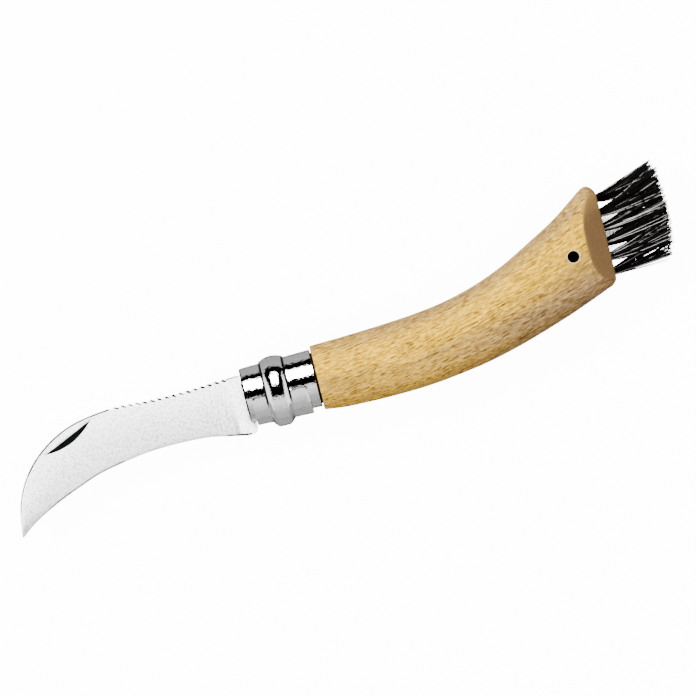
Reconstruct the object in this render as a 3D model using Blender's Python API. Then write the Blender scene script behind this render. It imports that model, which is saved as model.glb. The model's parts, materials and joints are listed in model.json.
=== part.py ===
"""Folding mushroom knife: a hawkbill blade in a curved beech handle, with a locking ring and a bristle brush.

The knife lies open on its side. X runs along the collar's axis from the blade to the brush, Y points from the
cutting edge to the spine, and Z is the pivot's axis, upwards. Shapes are worked out from the middle of the
collar's front rim, and the whole knife then stands on the floor with its box centred on the world origin.
"""

import math

import bmesh
import bpy
import numpy as np
from mathutils import Matrix, Vector
from mathutils.geometry import delaunay_2d_cdt

MM = 0.001

# Fits shared by several pieces
SEAT_GAP = 0.3 * MM
RUNNING_GAP = 0.2 * MM
PIN_HOLE_GAP = 0.15 * MM
CUT_OVERRUN = 2.0 * MM
ROUND_SHADING = math.radians(30)
CURVE_SAMPLES = 400

# Fixed collar: a slit, slightly tapered steel sleeve on the end of the wood
COLLAR_LENGTH = 22.2 * MM
COLLAR_FRONT_RADIUS = 8.35 * MM
COLLAR_TAPER = 0.6 * MM
COLLAR_WALL = 0.8 * MM
COLLAR_SLOT_MARGIN = 0.55 * MM
COLLAR_RIM_ROUND = 0.25 * MM
COLLAR_SIDES = 44

# Pivot pin, across the collar under the locking ring
PIVOT_SETBACK = 10.0 * MM
PIVOT_DROP = 2.2 * MM
PIN_RADIUS = 1.7 * MM
PIN_PROUD = 0.2 * MM
PIN_SIDES = 20

# Blade: one piece from its tip to the round tang that turns on the pin
BLADE_THICKNESS = 1.7 * MM
BLADE_REACH = 75.2 * MM
TIP_DROP = 25.6 * MM
SPINE_STEP = 1.9 * MM
SHOULDER_GAP = 0.4 * MM
HEEL_DROP = 3.6 * MM
HEEL_SETBACK = 1.5 * MM
HEEL_ROUND = 1.6 * MM
TANG_INSET = 0.2 * MM
NECK_INSET = 0.35 * MM
RICASSO_LENGTH = 3.0 * MM
PLUNGE_LENGTH = 1.3 * MM
EDGE_THICKNESS = 0.12 * MM
BEVEL_THICKNESS = 0.4 * MM
GRIND_SHARE = 0.55
BEVEL_SHARE = 0.05
FOLD_ANGLE = math.radians(176)
BLADE_STATIONS = 26
BLADE_SHADING = math.radians(20)
TANG_SIDES = 20
HEEL_STEPS = 5
HEEL_START = math.radians(-70)

# Spine, from the shoulder to the tip: shares of the reach, and of the fall from the spine to the tip
SPINE_SHARES = (
    (0.000, 0.000),
    (0.075, 0.002),
    (0.243, 0.023),
    (0.367, 0.023),
    (0.516, 0.009),
    (0.622, 0.033),
    (0.703, 0.073),
    (0.779, 0.148),
    (0.846, 0.251),
    (0.900, 0.370),
    (0.940, 0.498),
    (0.965, 0.613),
    (0.984, 0.747),
    (0.995, 0.888),
    (1.000, 0.992),
)
# Cutting edge, from the heel to the tip: shares of the reach, and of the fall from the heel to the tip
EDGE_SHARES = (
    (0.018, 0.000),
    (0.084, -0.070),
    (0.170, -0.165),
    (0.251, -0.194),
    (0.319, -0.198),
    (0.424, -0.172),
    (0.532, -0.084),
    (0.640, 0.040),
    (0.715, 0.186),
    (0.791, 0.351),
    (0.870, 0.551),
    (0.936, 0.751),
    (0.997, 1.000),
)

# Scraping notches along the straight part of the spine
NOTCH_COUNT = 16
NOTCH_START_SHARE = 0.055
NOTCH_END_SHARE = 0.533
NOTCH_LEAD_SHARE = 0.25
NOTCH_DEPTH = 0.5 * MM
NOTCH_STEPS = 4

# Nail nick, a crescent pressed into the upper flank near the tip
NICK_LENGTH = 16.0 * MM
NICK_DEPTH = 0.5 * MM
NICK_BULGE = 1.75 * MM
NICK_REACH_SHARE = 0.727
NICK_FALL_SHARE = 0.18
NICK_TURN = math.radians(24.0)
NICK_STEPS = 14

# Locking ring: a slit ring with a hollow bead, and lobes beside its gap that stand behind the blade's heel
RING_WALL = 0.7 * MM
RING_GAP_MARGIN = 0.6 * MM
RING_SPRING = 0.8 * MM
BEAD_HALF_WIDTH = 3.5 * MM
CROWN_HALF_WIDTH = 1.7 * MM
CROWN_RISE = 1.9 * MM
CROWN_OFFSET = 0.95 * MM
BAND_EDGE = 0.25 * MM
LOBE_REAR_MARGIN = 3.0 * MM
LOBE_CORNER = 1.3 * MM
LOBE_TOP_ANGLE = math.radians(82)
LOBE_SIDE_ANGLE = math.radians(0.8)
LOBE_STEPS = 6
CORNER_STEPS = 4
BAND_STEPS = 16

# Handle: the wood from the collar to the brush, round at the collar and flatter towards the brush
SHOULDER_STEP = 1.0 * MM
SLOT_END_WALL = 5.1 * MM
TOP_RISE = 26.8 * MM
BELLY_RISE = 16.7 * MM
SIDE_SWELL = 0.4 * MM
END_THINNING = 0.1 * MM
SLOT_SIDE_GAP = 0.3 * MM
SLOT_ROOM = 0.6 * MM
SLOT_STATIONS = 46
SLOT_END_STEPS = 8
HANDLE_SIDES = 36
ROUND_POWER = 2.0
END_POWER = 3.0
HANDLE_STATIONS = 24
EVEN_STATIONS_SHARE = 0.93
END_STATION_SHARES = (0.955, 0.971, 0.985, 0.995, 1.0)
# Rise of the top and of the belly at shares of the wood's length
TOP_SHARES = (
    (0.000, 0.000),
    (0.100, 0.012),
    (0.236, 0.037),
    (0.340, 0.065),
    (0.445, 0.117),
    (0.550, 0.210),
    (0.654, 0.350),
    (0.759, 0.540),
    (0.853, 0.724),
    (0.927, 0.905),
    (0.953, 0.970),
    (0.971, 1.000),
    (0.985, 0.982),
    (0.995, 0.948),
    (1.000, 0.915),
)
BELLY_SHARES = (
    (0.000, 0.000),
    (0.058, -0.042),
    (0.141, -0.060),
    (0.236, -0.060),
    (0.340, -0.036),
    (0.445, 0.030),
    (0.550, 0.126),
    (0.654, 0.269),
    (0.759, 0.449),
    (0.853, 0.629),
    (0.927, 0.790),
    (0.969, 0.886),
    (0.990, 0.940),
    (1.000, 1.000),
)
# Two flat bevels that thin the sides at the brush
BEVEL_LENGTH = 6.3 * MM
BEVEL_DEPTH = 3.9 * MM

# Lanyard hole, across the end block
LANYARD_RADIUS = 1.65 * MM
LANYARD_WALL = 1.75 * MM
LANYARD_HEIGHT_SHARE = 0.36
LANYARD_SIDES = 20

# Brush: tufts of bristle doubled over flat wire anchors in drilled holes
LONG_ROW_TUFTS = 6
SHORT_ROW_TUFTS = 4
BRUSH_TOP_MARGIN = 2.1 * MM
BRUSH_BELLY_MARGIN = 2.9 * MM
BRUSH_SIDE_MARGIN = 2.35 * MM
TUFT_HOLE_RADIUS = 1.5 * MM
TUFT_SLIP_GAP = 0.2 * MM
TUFT_HOLE_DEPTH = 8.0 * MM
TUFT_HOLE_SIDES = 12
TUFT_SIDES = 10
TUFT_SUNK = 0.4 * MM
STRANDS = 22
STRAND_SIDES = 3
STRAND_RADIUS = 0.12 * MM
STRAND_SPREAD_SHARE = 0.84
BRISTLE_LENGTH = 20.8 * MM
BRISTLE_CROWN = 2.4 * MM
BRISTLE_UNEVEN = 1.0 * MM
UNEVEN_STEP = 7.3
TIP_SPREAD = 2.2
SPREAD_POWER = 1.3
LEAN_POWER = 0.3
LEAN = math.radians(12.5)
LEAN_FAN = math.radians(3.6)
SIDE_FAN = math.radians(6.0)
STRAND_SEGMENT_SHARES = (0.16, 0.55, 1.0)
ANCHOR_BITE = 0.3 * MM
ANCHOR_WIDTH = 1.5 * MM
ANCHOR_THICKNESS = 0.4 * MM
ANCHOR_TURN = math.radians(45)
FOLD_WALL = 0.9 * MM

# Sizes and places that follow from the ones above
SLOT_WIDTH = BLADE_THICKNESS + 2 * SLOT_SIDE_GAP
COLLAR_SLOT_WIDTH = SLOT_WIDTH + 2 * COLLAR_SLOT_MARGIN
RING_GAP_WIDTH = COLLAR_SLOT_WIDTH + 2 * RING_GAP_MARGIN
COLLAR_REAR_RADIUS = COLLAR_FRONT_RADIUS + COLLAR_TAPER
ANCHOR_LENGTH = 2 * (TUFT_HOLE_RADIUS + ANCHOR_BITE)
PIVOT = Vector((PIVOT_SETBACK, -PIVOT_DROP, 0))
SPINE_Y = COLLAR_FRONT_RADIUS - SPINE_STEP
HEEL_Y = -(COLLAR_FRONT_RADIUS + HEEL_DROP)
TIP = Vector((-SHOULDER_GAP - BLADE_REACH, -TIP_DROP))
NECK_Y = COLLAR_FRONT_RADIUS - 2 * PIVOT_DROP - NECK_INSET
WOOD_START = COLLAR_LENGTH + SEAT_GAP
WOOD_RADIUS = COLLAR_REAR_RADIUS + SHOULDER_STEP
TIP_SWING = (TIP - PIVOT.xy).length + SLOT_ROOM
LANYARD_SETBACK = TUFT_HOLE_DEPTH + LANYARD_WALL + LANYARD_RADIUS
WOOD_END = PIVOT_SETBACK + TIP_SWING + SLOT_END_WALL + LANYARD_RADIUS + LANYARD_SETBACK
WOOD_LENGTH = WOOD_END - WOOD_START
LOBE_FRONT = HEEL_SETBACK + SEAT_GAP
LOBE_REAR = COLLAR_LENGTH - LOBE_REAR_MARGIN


def collar_radius(x):
    """Outer radius of the tapered collar at a distance behind its front rim."""
    return COLLAR_FRONT_RADIUS + COLLAR_TAPER * x / COLLAR_LENGTH


TANG_RADIUS = collar_radius(PIVOT_SETBACK) - PIVOT_DROP - TANG_INSET


def material(name, colour, roughness, metallic=0.0):
    made = bpy.data.materials.new(name)
    made.use_nodes = True
    shader = made.node_tree.nodes["Principled BSDF"]
    shader.inputs["Base Color"].default_value = (*colour, 1.0)
    shader.inputs["Roughness"].default_value = roughness
    shader.inputs["Metallic"].default_value = metallic
    made.diffuse_color = (*colour, 1.0)
    return made


def mesh_object(name, vertices, faces, finish, place=(0, 0, 0)):
    """A named object whose mesh is given in the collar's frame, with its origin moved to a place there."""
    mesh = bpy.data.meshes.new(name)
    shift = Vector(place)
    mesh.from_pydata([Vector(v) - shift for v in vertices], [], faces)
    shell = bmesh.new()
    shell.from_mesh(mesh)
    bmesh.ops.recalc_face_normals(shell, faces=shell.faces)
    shell.to_mesh(mesh)
    shell.free()
    made = bpy.data.objects.new(name, mesh)
    made.location = shift
    if finish:
        mesh.materials.append(finish)
    bpy.context.scene.collection.objects.link(made)
    return made


def shade(made, angle):
    made.data.shade_smooth()
    made.data.set_sharp_from_angle(angle=angle)


def cut(made, cutter):
    """Takes the cutter out of an object and deletes the cutter."""
    modifier = made.modifiers.new("cut", "BOOLEAN")
    modifier.operation = "DIFFERENCE"
    modifier.solver = "EXACT"
    modifier.object = cutter
    apply_modifiers(made)
    bpy.data.objects.remove(cutter)


def apply_modifiers(made):
    bpy.context.view_layer.update()
    evaluated = made.evaluated_get(bpy.context.evaluated_depsgraph_get())
    mesh = bpy.data.meshes.new_from_object(evaluated)
    made.modifiers.clear()
    made.data = mesh


def through_points(points, count):
    """A smooth curve through the points, sampled evenly along its length: Catmull-Rom by chord length."""
    points = np.array(points, float)
    knots = np.concatenate([[0.0], np.cumsum(np.linalg.norm(np.diff(points, axis=0), axis=1))])
    dense = np.linspace(0.0, knots[-1], CURVE_SAMPLES)
    curve = np.stack([hermite(knots, points[:, k], dense) for k in range(2)], axis=1)
    along = np.concatenate([[0.0], np.cumsum(np.linalg.norm(np.diff(curve, axis=0), axis=1))])
    even = np.linspace(0.0, along[-1], count)
    return np.stack([np.interp(even, along, curve[:, k]) for k in range(2)], axis=1)


def hermite(knots, values, wanted):
    """Cubic through the values at the knots, its slopes taken from the neighbours on each side."""
    knots, values, wanted = (np.asarray(a, float) for a in (knots, values, wanted))
    slopes = np.gradient(values, knots)
    k = np.clip(np.searchsorted(knots, wanted, side="right") - 1, 0, len(knots) - 2)
    span = knots[k + 1] - knots[k]
    t = (wanted - knots[k]) / span
    start = (1 + 2 * t) * (1 - t) ** 2 * values[k] + t * (1 - t) ** 2 * span * slopes[k]
    end = t * t * (3 - 2 * t) * values[k + 1] + t * t * (t - 1) * span * slopes[k + 1]
    return start + end


def prism(name, outline, low, high):
    """A straight extrusion along Z of an outline in XY."""
    count = len(outline)
    vertices = [(x, y, z) for z in (low, high) for x, y in outline]
    sides = [(k, (k + 1) % count, count + (k + 1) % count, count + k) for k in range(count)]
    return mesh_object(name, vertices, [list(range(count)), list(range(count, 2 * count)), *sides], None)


def cylinder(name, radius, start, end, sides):
    """A closed cylinder between two points."""
    axis = Vector(end) - Vector(start)
    turn = axis.to_track_quat("Z", "Y")
    vertices = []
    for base in (Vector(start), Vector(end)):
        for k in range(sides):
            a = math.tau * k / sides
            vertices.append(base + turn @ Vector((radius * math.cos(a), radius * math.sin(a), 0)))
    caps = [list(range(sides)), list(range(sides, 2 * sides))]
    walls = [(k, (k + 1) % sides, sides + (k + 1) % sides, sides + k) for k in range(sides)]
    return mesh_object(name, vertices, caps + walls, None)


def joined(objects, name):
    """Several separate solids made one object."""
    shell = bmesh.new()
    for each in objects:
        copy = each.data.copy()
        copy.transform(each.matrix_basis)
        shell.from_mesh(copy)
        bpy.data.meshes.remove(copy)
        bpy.data.objects.remove(each)
    mesh = bpy.data.meshes.new(name)
    shell.to_mesh(mesh)
    shell.free()
    made = bpy.data.objects.new(name, mesh)
    bpy.context.scene.collection.objects.link(made)
    return made


def swept_loops(name, loops, finish, place):
    """A solid through a row of closed loops of points, capped at both ends."""
    size = len(loops[0])
    vertices = [p for loop in loops for p in loop]
    faces = [list(range(size)), [size * (len(loops) - 1) + k for k in range(size)]]
    for r in range(len(loops) - 1):
        for k in range(size):
            n = (k + 1) % size
            faces.append((r * size + k, r * size + n, (r + 1) * size + n, (r + 1) * size + k))
    return mesh_object(name, vertices, faces, finish, place)


# Fixed collar


def fixed_collar(steel):
    """The slit sleeve, swept round its axis from one lip of the slit to the other, with a rounded front rim."""
    half_slot = math.asin(COLLAR_SLOT_WIDTH / 2 / COLLAR_FRONT_RADIUS)
    profile = (
        (COLLAR_RIM_ROUND, 0.0),
        (COLLAR_LENGTH, 0.0),
        (COLLAR_LENGTH, COLLAR_WALL),
        (0.0, COLLAR_WALL),
        (0.0, COLLAR_RIM_ROUND),
    )
    loops = []
    for angle in np.linspace(half_slot, math.tau - half_slot, COLLAR_SIDES):
        loop = []
        for x, inset in profile:
            radius = collar_radius(x) - inset
            loop.append((x, -radius * math.cos(angle), radius * math.sin(angle)))
        loops.append(loop)
    made = swept_loops("fixed_collar", loops, steel, (0, 0, 0))
    reach = COLLAR_REAR_RADIUS + CUT_OVERRUN
    hole = PIN_RADIUS + PIN_HOLE_GAP
    cut(made, pin_axis_cylinder(hole, reach, PIN_SIDES))
    shade(made, ROUND_SHADING)
    return made


def pin_axis_cylinder(radius, half_length, sides):
    low, high = PIVOT - Vector((0, 0, half_length)), PIVOT + Vector((0, 0, half_length))
    return cylinder("pin_axis_cylinder", radius, low, high, sides)


# Pivot pin


def pivot_pin(steel):
    """A plain pin whose two ends follow the collar's round and stand slightly proud, inside the ring's bead."""
    made = pin_axis_cylinder(PIN_RADIUS, COLLAR_REAR_RADIUS, PIN_SIDES)
    made.name = "pivot_pin"
    end_radius = collar_radius(PIVOT_SETBACK) + PIN_PROUD
    span = PIN_RADIUS + CUT_OVERRUN
    start, end = (PIVOT_SETBACK - span, 0, 0), (PIVOT_SETBACK + span, 0, 0)
    keeper = cylinder("pin_keeper", end_radius, start, end, 2 * COLLAR_SIDES)
    modifier = made.modifiers.new("round the ends", "BOOLEAN")
    modifier.operation = "INTERSECT"
    modifier.solver = "EXACT"
    modifier.object = keeper
    apply_modifiers(made)
    bpy.data.objects.remove(keeper)
    made.data.materials.append(steel)
    shade(made, ROUND_SHADING)
    return made


# Blade


def blade_curves():
    """The smooth spine and cutting edge as points from the collar to the tip."""
    spine = [
        (-SHOULDER_GAP - x * BLADE_REACH, SPINE_Y + y * (TIP.y - SPINE_Y)) for x, y in SPINE_SHARES
    ]
    edge = [(-SHOULDER_GAP - x * BLADE_REACH, HEEL_Y + y * (TIP.y - HEEL_Y)) for x, y in EDGE_SHARES]
    return spine, edge


def notched_spine():
    """The spine's outline with its scallops, a row of small arcs with a sharp notch between them."""
    spine = blade_curves()[0]
    smooth = through_points(spine, CURVE_SAMPLES)
    start, end = (-SHOULDER_GAP - s * BLADE_REACH for s in (NOTCH_START_SHARE, NOTCH_END_SHARE))
    pitch = (end - start) / NOTCH_COUNT
    places = [(start - NOTCH_LEAD_SHARE * pitch, 0.0)]
    for step in range(NOTCH_COUNT * NOTCH_STEPS + 1):
        t = step / NOTCH_STEPS
        places.append((start + pitch * t, NOTCH_DEPTH * (1 - abs(math.sin(math.pi * t)))))
    places.append((end + NOTCH_LEAD_SHARE * pitch, 0.0))
    points = [tuple(smooth[0])]
    for x, depth in places:
        points.append((x, float(np.interp(-x, -smooth[:, 0], smooth[:, 1])) - depth))
    points += [tuple(p) for p in smooth[smooth[:, 0] < places[-1][0]][:: len(smooth) // BLADE_STATIONS]]
    return points + [tuple(smooth[-1])]


def tang_outline():
    """From the heel round the tang to the shoulder at the spine."""
    centre = Vector((HEEL_SETBACK - HEEL_ROUND, HEEL_Y + HEEL_ROUND))
    points = []
    for a in np.linspace(HEEL_START, 0, HEEL_STEPS):
        points.append((centre.x + HEEL_ROUND * math.cos(a), centre.y + HEEL_ROUND * math.sin(a)))
    points.append((HEEL_SETBACK, PIVOT.y - TANG_RADIUS))
    top = math.pi - math.asin((NECK_Y - PIVOT.y) / TANG_RADIUS)
    for a in np.linspace(-math.pi / 2, top, TANG_SIDES):
        points.append((PIVOT.x + TANG_RADIUS * math.cos(a), PIVOT.y + TANG_RADIUS * math.sin(a)))
    return points + [(-SHOULDER_GAP, NECK_Y)]


def blade(steel):
    """Flat flanks from the spine, ground down to a thin edge, with full thickness at the ricasso and tang."""
    spine, edge = blade_curves()
    edge_line = through_points(edge, BLADE_STATIONS)
    spine_line = through_points(spine, BLADE_STATIONS)
    start = -SHOULDER_GAP - RICASSO_LENGTH
    keep = edge_line[:, 0] < start - PLUNGE_LENGTH
    plunge = [start, start - PLUNGE_LENGTH]
    edge_rows = [(x, float(np.interp(-x, -edge_line[:, 0], edge_line[:, 1]))) for x in plunge]
    back_rows = [(x, float(np.interp(-x, -spine_line[:, 0], spine_line[:, 1]))) for x in plunge]
    edge_rows = np.array(edge_rows + [tuple(p) for p in edge_line[keep]])
    back_rows = np.array(back_rows + [tuple(p) for p in spine_line[keep]])
    grind_rows = edge_rows + GRIND_SHARE * (back_rows - edge_rows)
    bevel_rows = edge_rows + BEVEL_SHARE * (back_rows - edge_rows)
    heel = (-SHOULDER_GAP - EDGE_SHARES[0][0] * BLADE_REACH, HEEL_Y)
    flank = notched_spine() + [tuple(p) for p in grind_rows[::-1]]
    flank += [tuple(bevel_rows[0]), tuple(edge_rows[0]), heel] + tang_outline()
    return blade_solid(flank, grind_rows, bevel_rows, edge_rows, steel)


def blade_solid(flank, grind_rows, bevel_rows, edge_rows, steel):
    """Closes the blade: flat flanks before and behind the plunge, ground strips, a thin edge, and walls all round."""
    half = BLADE_THICKNESS / 2
    stations = len(grind_rows)
    vertices, index = [], {}

    def at(point, z):
        key = (round(point[0], 9), round(point[1], 9), round(z, 9))
        if key not in index:
            index[key] = len(vertices)
            vertices.append((point[0], point[1], z))
        return index[key]

    spine_end = flank.index(tuple(grind_rows[-1]))
    ricasso = spine_end + stations - 1
    faces = []
    for side in (1, -1):
        faces.append([at(p, side * half) for p in flank[1 : ricasso + 1]])
        faces.append([at(p, side * half) for p in flank[:2] + flank[ricasso:]])
        for k in range(stations - 1):
            heights = [(half, half), (half, BEVEL_THICKNESS / 2), (half, EDGE_THICKNESS / 2)]
            rows = (grind_rows, bevel_rows, edge_rows)
            now = [at(rows[r][k], side * heights[r][min(k, 1)]) for r in range(3)]
            then = [at(rows[r][k + 1], side * heights[r][1]) for r in range(3)]
            faces += [(now[r], then[r], then[r + 1], now[r + 1]) for r in range(2)]
    wall = flank[flank.index(tuple(edge_rows[0])) :] + flank[:spine_end]
    for a, b in zip(wall, wall[1:], strict=False):
        faces.append((at(a, half), at(b, half), at(b, -half), at(a, -half)))
    for k in range(stations - 1):
        a, b = edge_rows[k], edge_rows[k + 1]
        za, zb = (half if k == 0 else EDGE_THICKNESS / 2), EDGE_THICKNESS / 2
        faces.append((at(a, za), at(b, zb), at(b, -zb), at(a, -za)))
    tip_loop = [(flank[spine_end - 1], half), (grind_rows[-1], half)]
    tip_loop += [(bevel_rows[-1], BEVEL_THICKNESS / 2), (edge_rows[-1], EDGE_THICKNESS / 2)]
    faces.append([at(p, z) for p, z in tip_loop] + [at(p, -z) for p, z in reversed(tip_loop)])
    made = mesh_object("blade", vertices, faces, steel, PIVOT)
    cut(made, pin_axis_cylinder(PIN_RADIUS + PIN_HOLE_GAP, BLADE_THICKNESS, PIN_SIDES))
    cut(made, nick_cutter())
    shade(made, BLADE_SHADING)
    return made


def nick_cutter():
    """A crescent wedge: level with the flank along its straight side, and deepest at the middle of its arc."""
    centre = Vector((-SHOULDER_GAP - NICK_REACH_SHARE * BLADE_REACH, 0, BLADE_THICKNESS / 2))
    centre.y = SPINE_Y + NICK_FALL_SHARE * (TIP.y - SPINE_Y)
    radius = (NICK_LENGTH**2 / 4 + NICK_BULGE**2) / (2 * NICK_BULGE)
    half_angle = math.asin(NICK_LENGTH / 2 / radius)
    turn = Matrix.Rotation(NICK_TURN, 3, "Z")
    over = NICK_DEPTH
    slope = NICK_DEPTH / NICK_BULGE
    outline = []
    for a in np.linspace(-half_angle, half_angle, NICK_STEPS):
        outline.append((radius * math.sin(a), radius - NICK_BULGE - radius * math.cos(a)))
    vertices = []
    for x, y in outline:
        vertices.append(centre + turn @ Vector((x, y, slope * y)))
    for x, y in outline:
        vertices.append(centre + turn @ Vector((x, y, over)))
    count = len(outline)
    sides = [(k, (k + 1) % count, count + (k + 1) % count, count + k) for k in range(count)]
    return mesh_object("nick_cutter", vertices, [list(range(count)), list(range(count, 2 * count)), *sides], None)


# Locking ring


def ring_edge(angle, lobe_edge, band_edge):
    """How far the ring reaches along the axis at an angle from its gap: a lobe with a rounded corner, or the band."""
    corner_angle = LOBE_CORNER / COLLAR_REAR_RADIUS
    into = (angle - (LOBE_TOP_ANGLE - corner_angle)) / corner_angle
    if angle > LOBE_TOP_ANGLE:
        return band_edge
    if into <= 0:
        return lobe_edge
    back = LOBE_CORNER * (1 - math.sqrt(max(0.0, 1 - into * into)))
    return lobe_edge - math.copysign(back, lobe_edge)


def ring_loop(angle, sign):
    """The ring's cross-section at an angle from its gap, as a closed loop of points. Towards the gap the sprung
    ring stands further off the collar."""
    front = ring_edge(angle, LOBE_FRONT - PIVOT_SETBACK, -BEAD_HALF_WIDTH - BAND_EDGE)
    rear = ring_edge(angle, LOBE_REAR - PIVOT_SETBACK, BEAD_HALF_WIDTH + BAND_EDGE)
    middle = (BEAD_HALF_WIDTH + CROWN_HALF_WIDTH) / 2
    stations = (front, front + BAND_EDGE, -BEAD_HALF_WIDTH, -middle, -CROWN_HALF_WIDTH)
    stations += (CROWN_HALF_WIDTH, middle, BEAD_HALF_WIDTH, rear - BAND_EDGE, rear)
    rises = (0, 0, 0, 0.5, 1, 1, 0.5, 0, 0, 0)
    sprung = RING_SPRING * max(0.0, math.cos(angle)) ** 2
    crown = collar_radius(PIVOT_SETBACK) + CROWN_RISE + CROWN_OFFSET * math.cos(angle) + sprung
    outer, inner = [], []
    for k, (x, rise) in enumerate(zip(stations, rises, strict=True)):
        seat = collar_radius(x + PIVOT_SETBACK) + RUNNING_GAP + sprung
        flange = seat + RING_WALL - (BAND_EDGE if k in (0, len(rises) - 1) else 0)
        outer.append((x, flange + rise * max(0.0, crown - seat - RING_WALL)))
        inner.append((x, seat + rise * max(0.0, crown - RING_WALL - seat)))
    loop = []
    for x, radius in outer + inner[::-1]:
        loop.append((x + PIVOT_SETBACK, -radius * math.cos(angle), sign * radius * math.sin(angle)))
    return loop


def locking_ring(steel):
    """Cross-sections from one lip of the gap round to the other."""
    gap_angle = math.asin(RING_GAP_WIDTH / 2 / collar_radius(PIVOT_SETBACK))
    corner_angle = LOBE_TOP_ANGLE - LOBE_CORNER / COLLAR_REAR_RADIUS
    half = list(np.linspace(gap_angle, corner_angle, LOBE_STEPS, endpoint=False))
    half += list(np.linspace(corner_angle, LOBE_TOP_ANGLE, CORNER_STEPS))
    band_start = LOBE_TOP_ANGLE + LOBE_SIDE_ANGLE
    band = np.linspace(band_start, math.tau - band_start, BAND_STEPS)
    loops = [ring_loop(a, 1) for a in half]
    loops += [ring_loop(a, 1) if a <= math.pi else ring_loop(math.tau - a, -1) for a in band]
    loops += [ring_loop(a, -1) for a in reversed(half)]
    made = swept_loops("locking_ring", loops, steel, (PIVOT_SETBACK, 0, 0))
    shade(made, ROUND_SHADING)
    return made


# Handle


def handle_profile(share):
    """Top, belly, half thickness and roundness of the wood at a share of its length."""
    top = WOOD_RADIUS + TOP_RISE * hermite(*zip(*TOP_SHARES, strict=True), share)
    belly = -WOOD_RADIUS + BELLY_RISE * hermite(*zip(*BELLY_SHARES, strict=True), share)
    swell = SIDE_SWELL * np.sin(np.pi * np.minimum(1.0, share)) - END_THINNING * share
    power = ROUND_POWER + (END_POWER - ROUND_POWER) * share
    return top, belly, WOOD_RADIUS + swell, power


def handle_section(x, share):
    """A superellipse across the wood, from Y belly to Y top."""
    top, belly, thickness, power = (float(v) for v in handle_profile(share))
    middle, half = (top + belly) / 2, (top - belly) / 2
    section = []
    for k in range(HANDLE_SIDES):
        a = math.tau * k / HANDLE_SIDES
        c, s = math.cos(a), math.sin(a)
        y = middle + half * math.copysign(abs(c) ** (2 / power), c)
        section.append((x, y, thickness * math.copysign(abs(s) ** (2 / power), s)))
    return section


def spigot_section(x):
    radius = collar_radius(x) - COLLAR_WALL - SEAT_GAP
    angles = [math.tau * k / HANDLE_SIDES for k in range(HANDLE_SIDES)]
    return [(x, radius * math.cos(a), radius * math.sin(a)) for a in angles]


def closed_blade_outline():
    """The spine, edge and heel as points, turned about the pivot to the folded place."""
    spine, edge = blade_curves()
    curves = [through_points(curve, CURVE_SAMPLES) for curve in (edge, spine)]
    points = np.concatenate([*curves, tang_outline()]) - np.array(PIVOT.xy)
    c, s = math.cos(FOLD_ANGLE), math.sin(FOLD_ANGLE)
    return points @ np.array([[c, s], [-s, c]]) + np.array(PIVOT.xy)


def slot_cutter():
    """The saw slot: its roof clears the folded edge and the tang, and its end clears the tip's swing."""
    folded = closed_blade_outline()
    floor = PIVOT.y + TANG_RADIUS + SLOT_ROOM
    rear = PIVOT.x + TIP_SWING
    roof = []
    for x in np.linspace(0.0, rear, SLOT_STATIONS):
        near = folded[abs(folded[:, 0] - x) <= 2 * SLOT_ROOM]
        highest = near[:, 1].max() + SLOT_ROOM if len(near) else floor
        roof.append((x, max(floor, highest) if x < LOBE_REAR else highest))
    tip_y = folded[:, 1].max() + SLOT_ROOM
    roof = [p for p in roof if (Vector(p) - PIVOT.xy).length < TIP_SWING]
    end_angle = math.asin(min(1.0, (tip_y - PIVOT.y) / TIP_SWING))
    depth = -2 * WOOD_RADIUS
    low_angle = math.asin((depth - PIVOT.y) / TIP_SWING)
    end = []
    for a in np.linspace(end_angle, low_angle, SLOT_END_STEPS):
        end.append((PIVOT.x + TIP_SWING * math.cos(a), PIVOT.y + TIP_SWING * math.sin(a)))
    outline = [(-CUT_OVERRUN, depth), (-CUT_OVERRUN, roof[0][1])] + roof + end
    return prism("slot_cutter", outline, -SLOT_WIDTH / 2, SLOT_WIDTH / 2)


def brush_layout():
    """Middle of the brush, the pitch along its rows and the pitch between them, from the size of the end face."""
    top, belly, thickness, _ = (float(v) for v in handle_profile(1.0))
    low, high = belly + BRUSH_BELLY_MARGIN, top - BRUSH_TOP_MARGIN
    row_pitch = thickness - BEVEL_DEPTH - BRUSH_SIDE_MARGIN
    return (low + high) / 2, (high - low) / (LONG_ROW_TUFTS - 1), row_pitch


def tuft_places():
    """Y and Z of each tuft's middle on the end face: a long row between two short ones."""
    middle, pitch, row_pitch = brush_layout()
    places = []
    for row, count in ((0, LONG_ROW_TUFTS), (1, SHORT_ROW_TUFTS), (-1, SHORT_ROW_TUFTS)):
        for k in range(count):
            places.append((middle + (k - (count - 1) / 2) * pitch, row * row_pitch))
    return places


def bevel_sides(made):
    """Cuts the two flat bevels that thin the wood at the brush."""
    end_thickness = float(handle_profile(1.0)[2])
    shell = bmesh.new()
    shell.from_mesh(made.data)
    for side in (1, -1):
        point = Vector((WOOD_END, 0, side * (end_thickness - BEVEL_DEPTH)))
        normal = Vector((BEVEL_DEPTH, 0, side * BEVEL_LENGTH)).normalized()
        geometry = shell.verts[:] + shell.edges[:] + shell.faces[:]
        found = bmesh.ops.bisect_plane(shell, geom=geometry, plane_co=point, plane_no=normal, clear_outer=True)
        edges = [e for e in found["geom_cut"] if isinstance(e, bmesh.types.BMEdge)]
        bmesh.ops.contextual_create(shell, geom=edges)
    bmesh.ops.recalc_face_normals(shell, faces=shell.faces)
    shell.to_mesh(made.data)
    shell.free()


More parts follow.
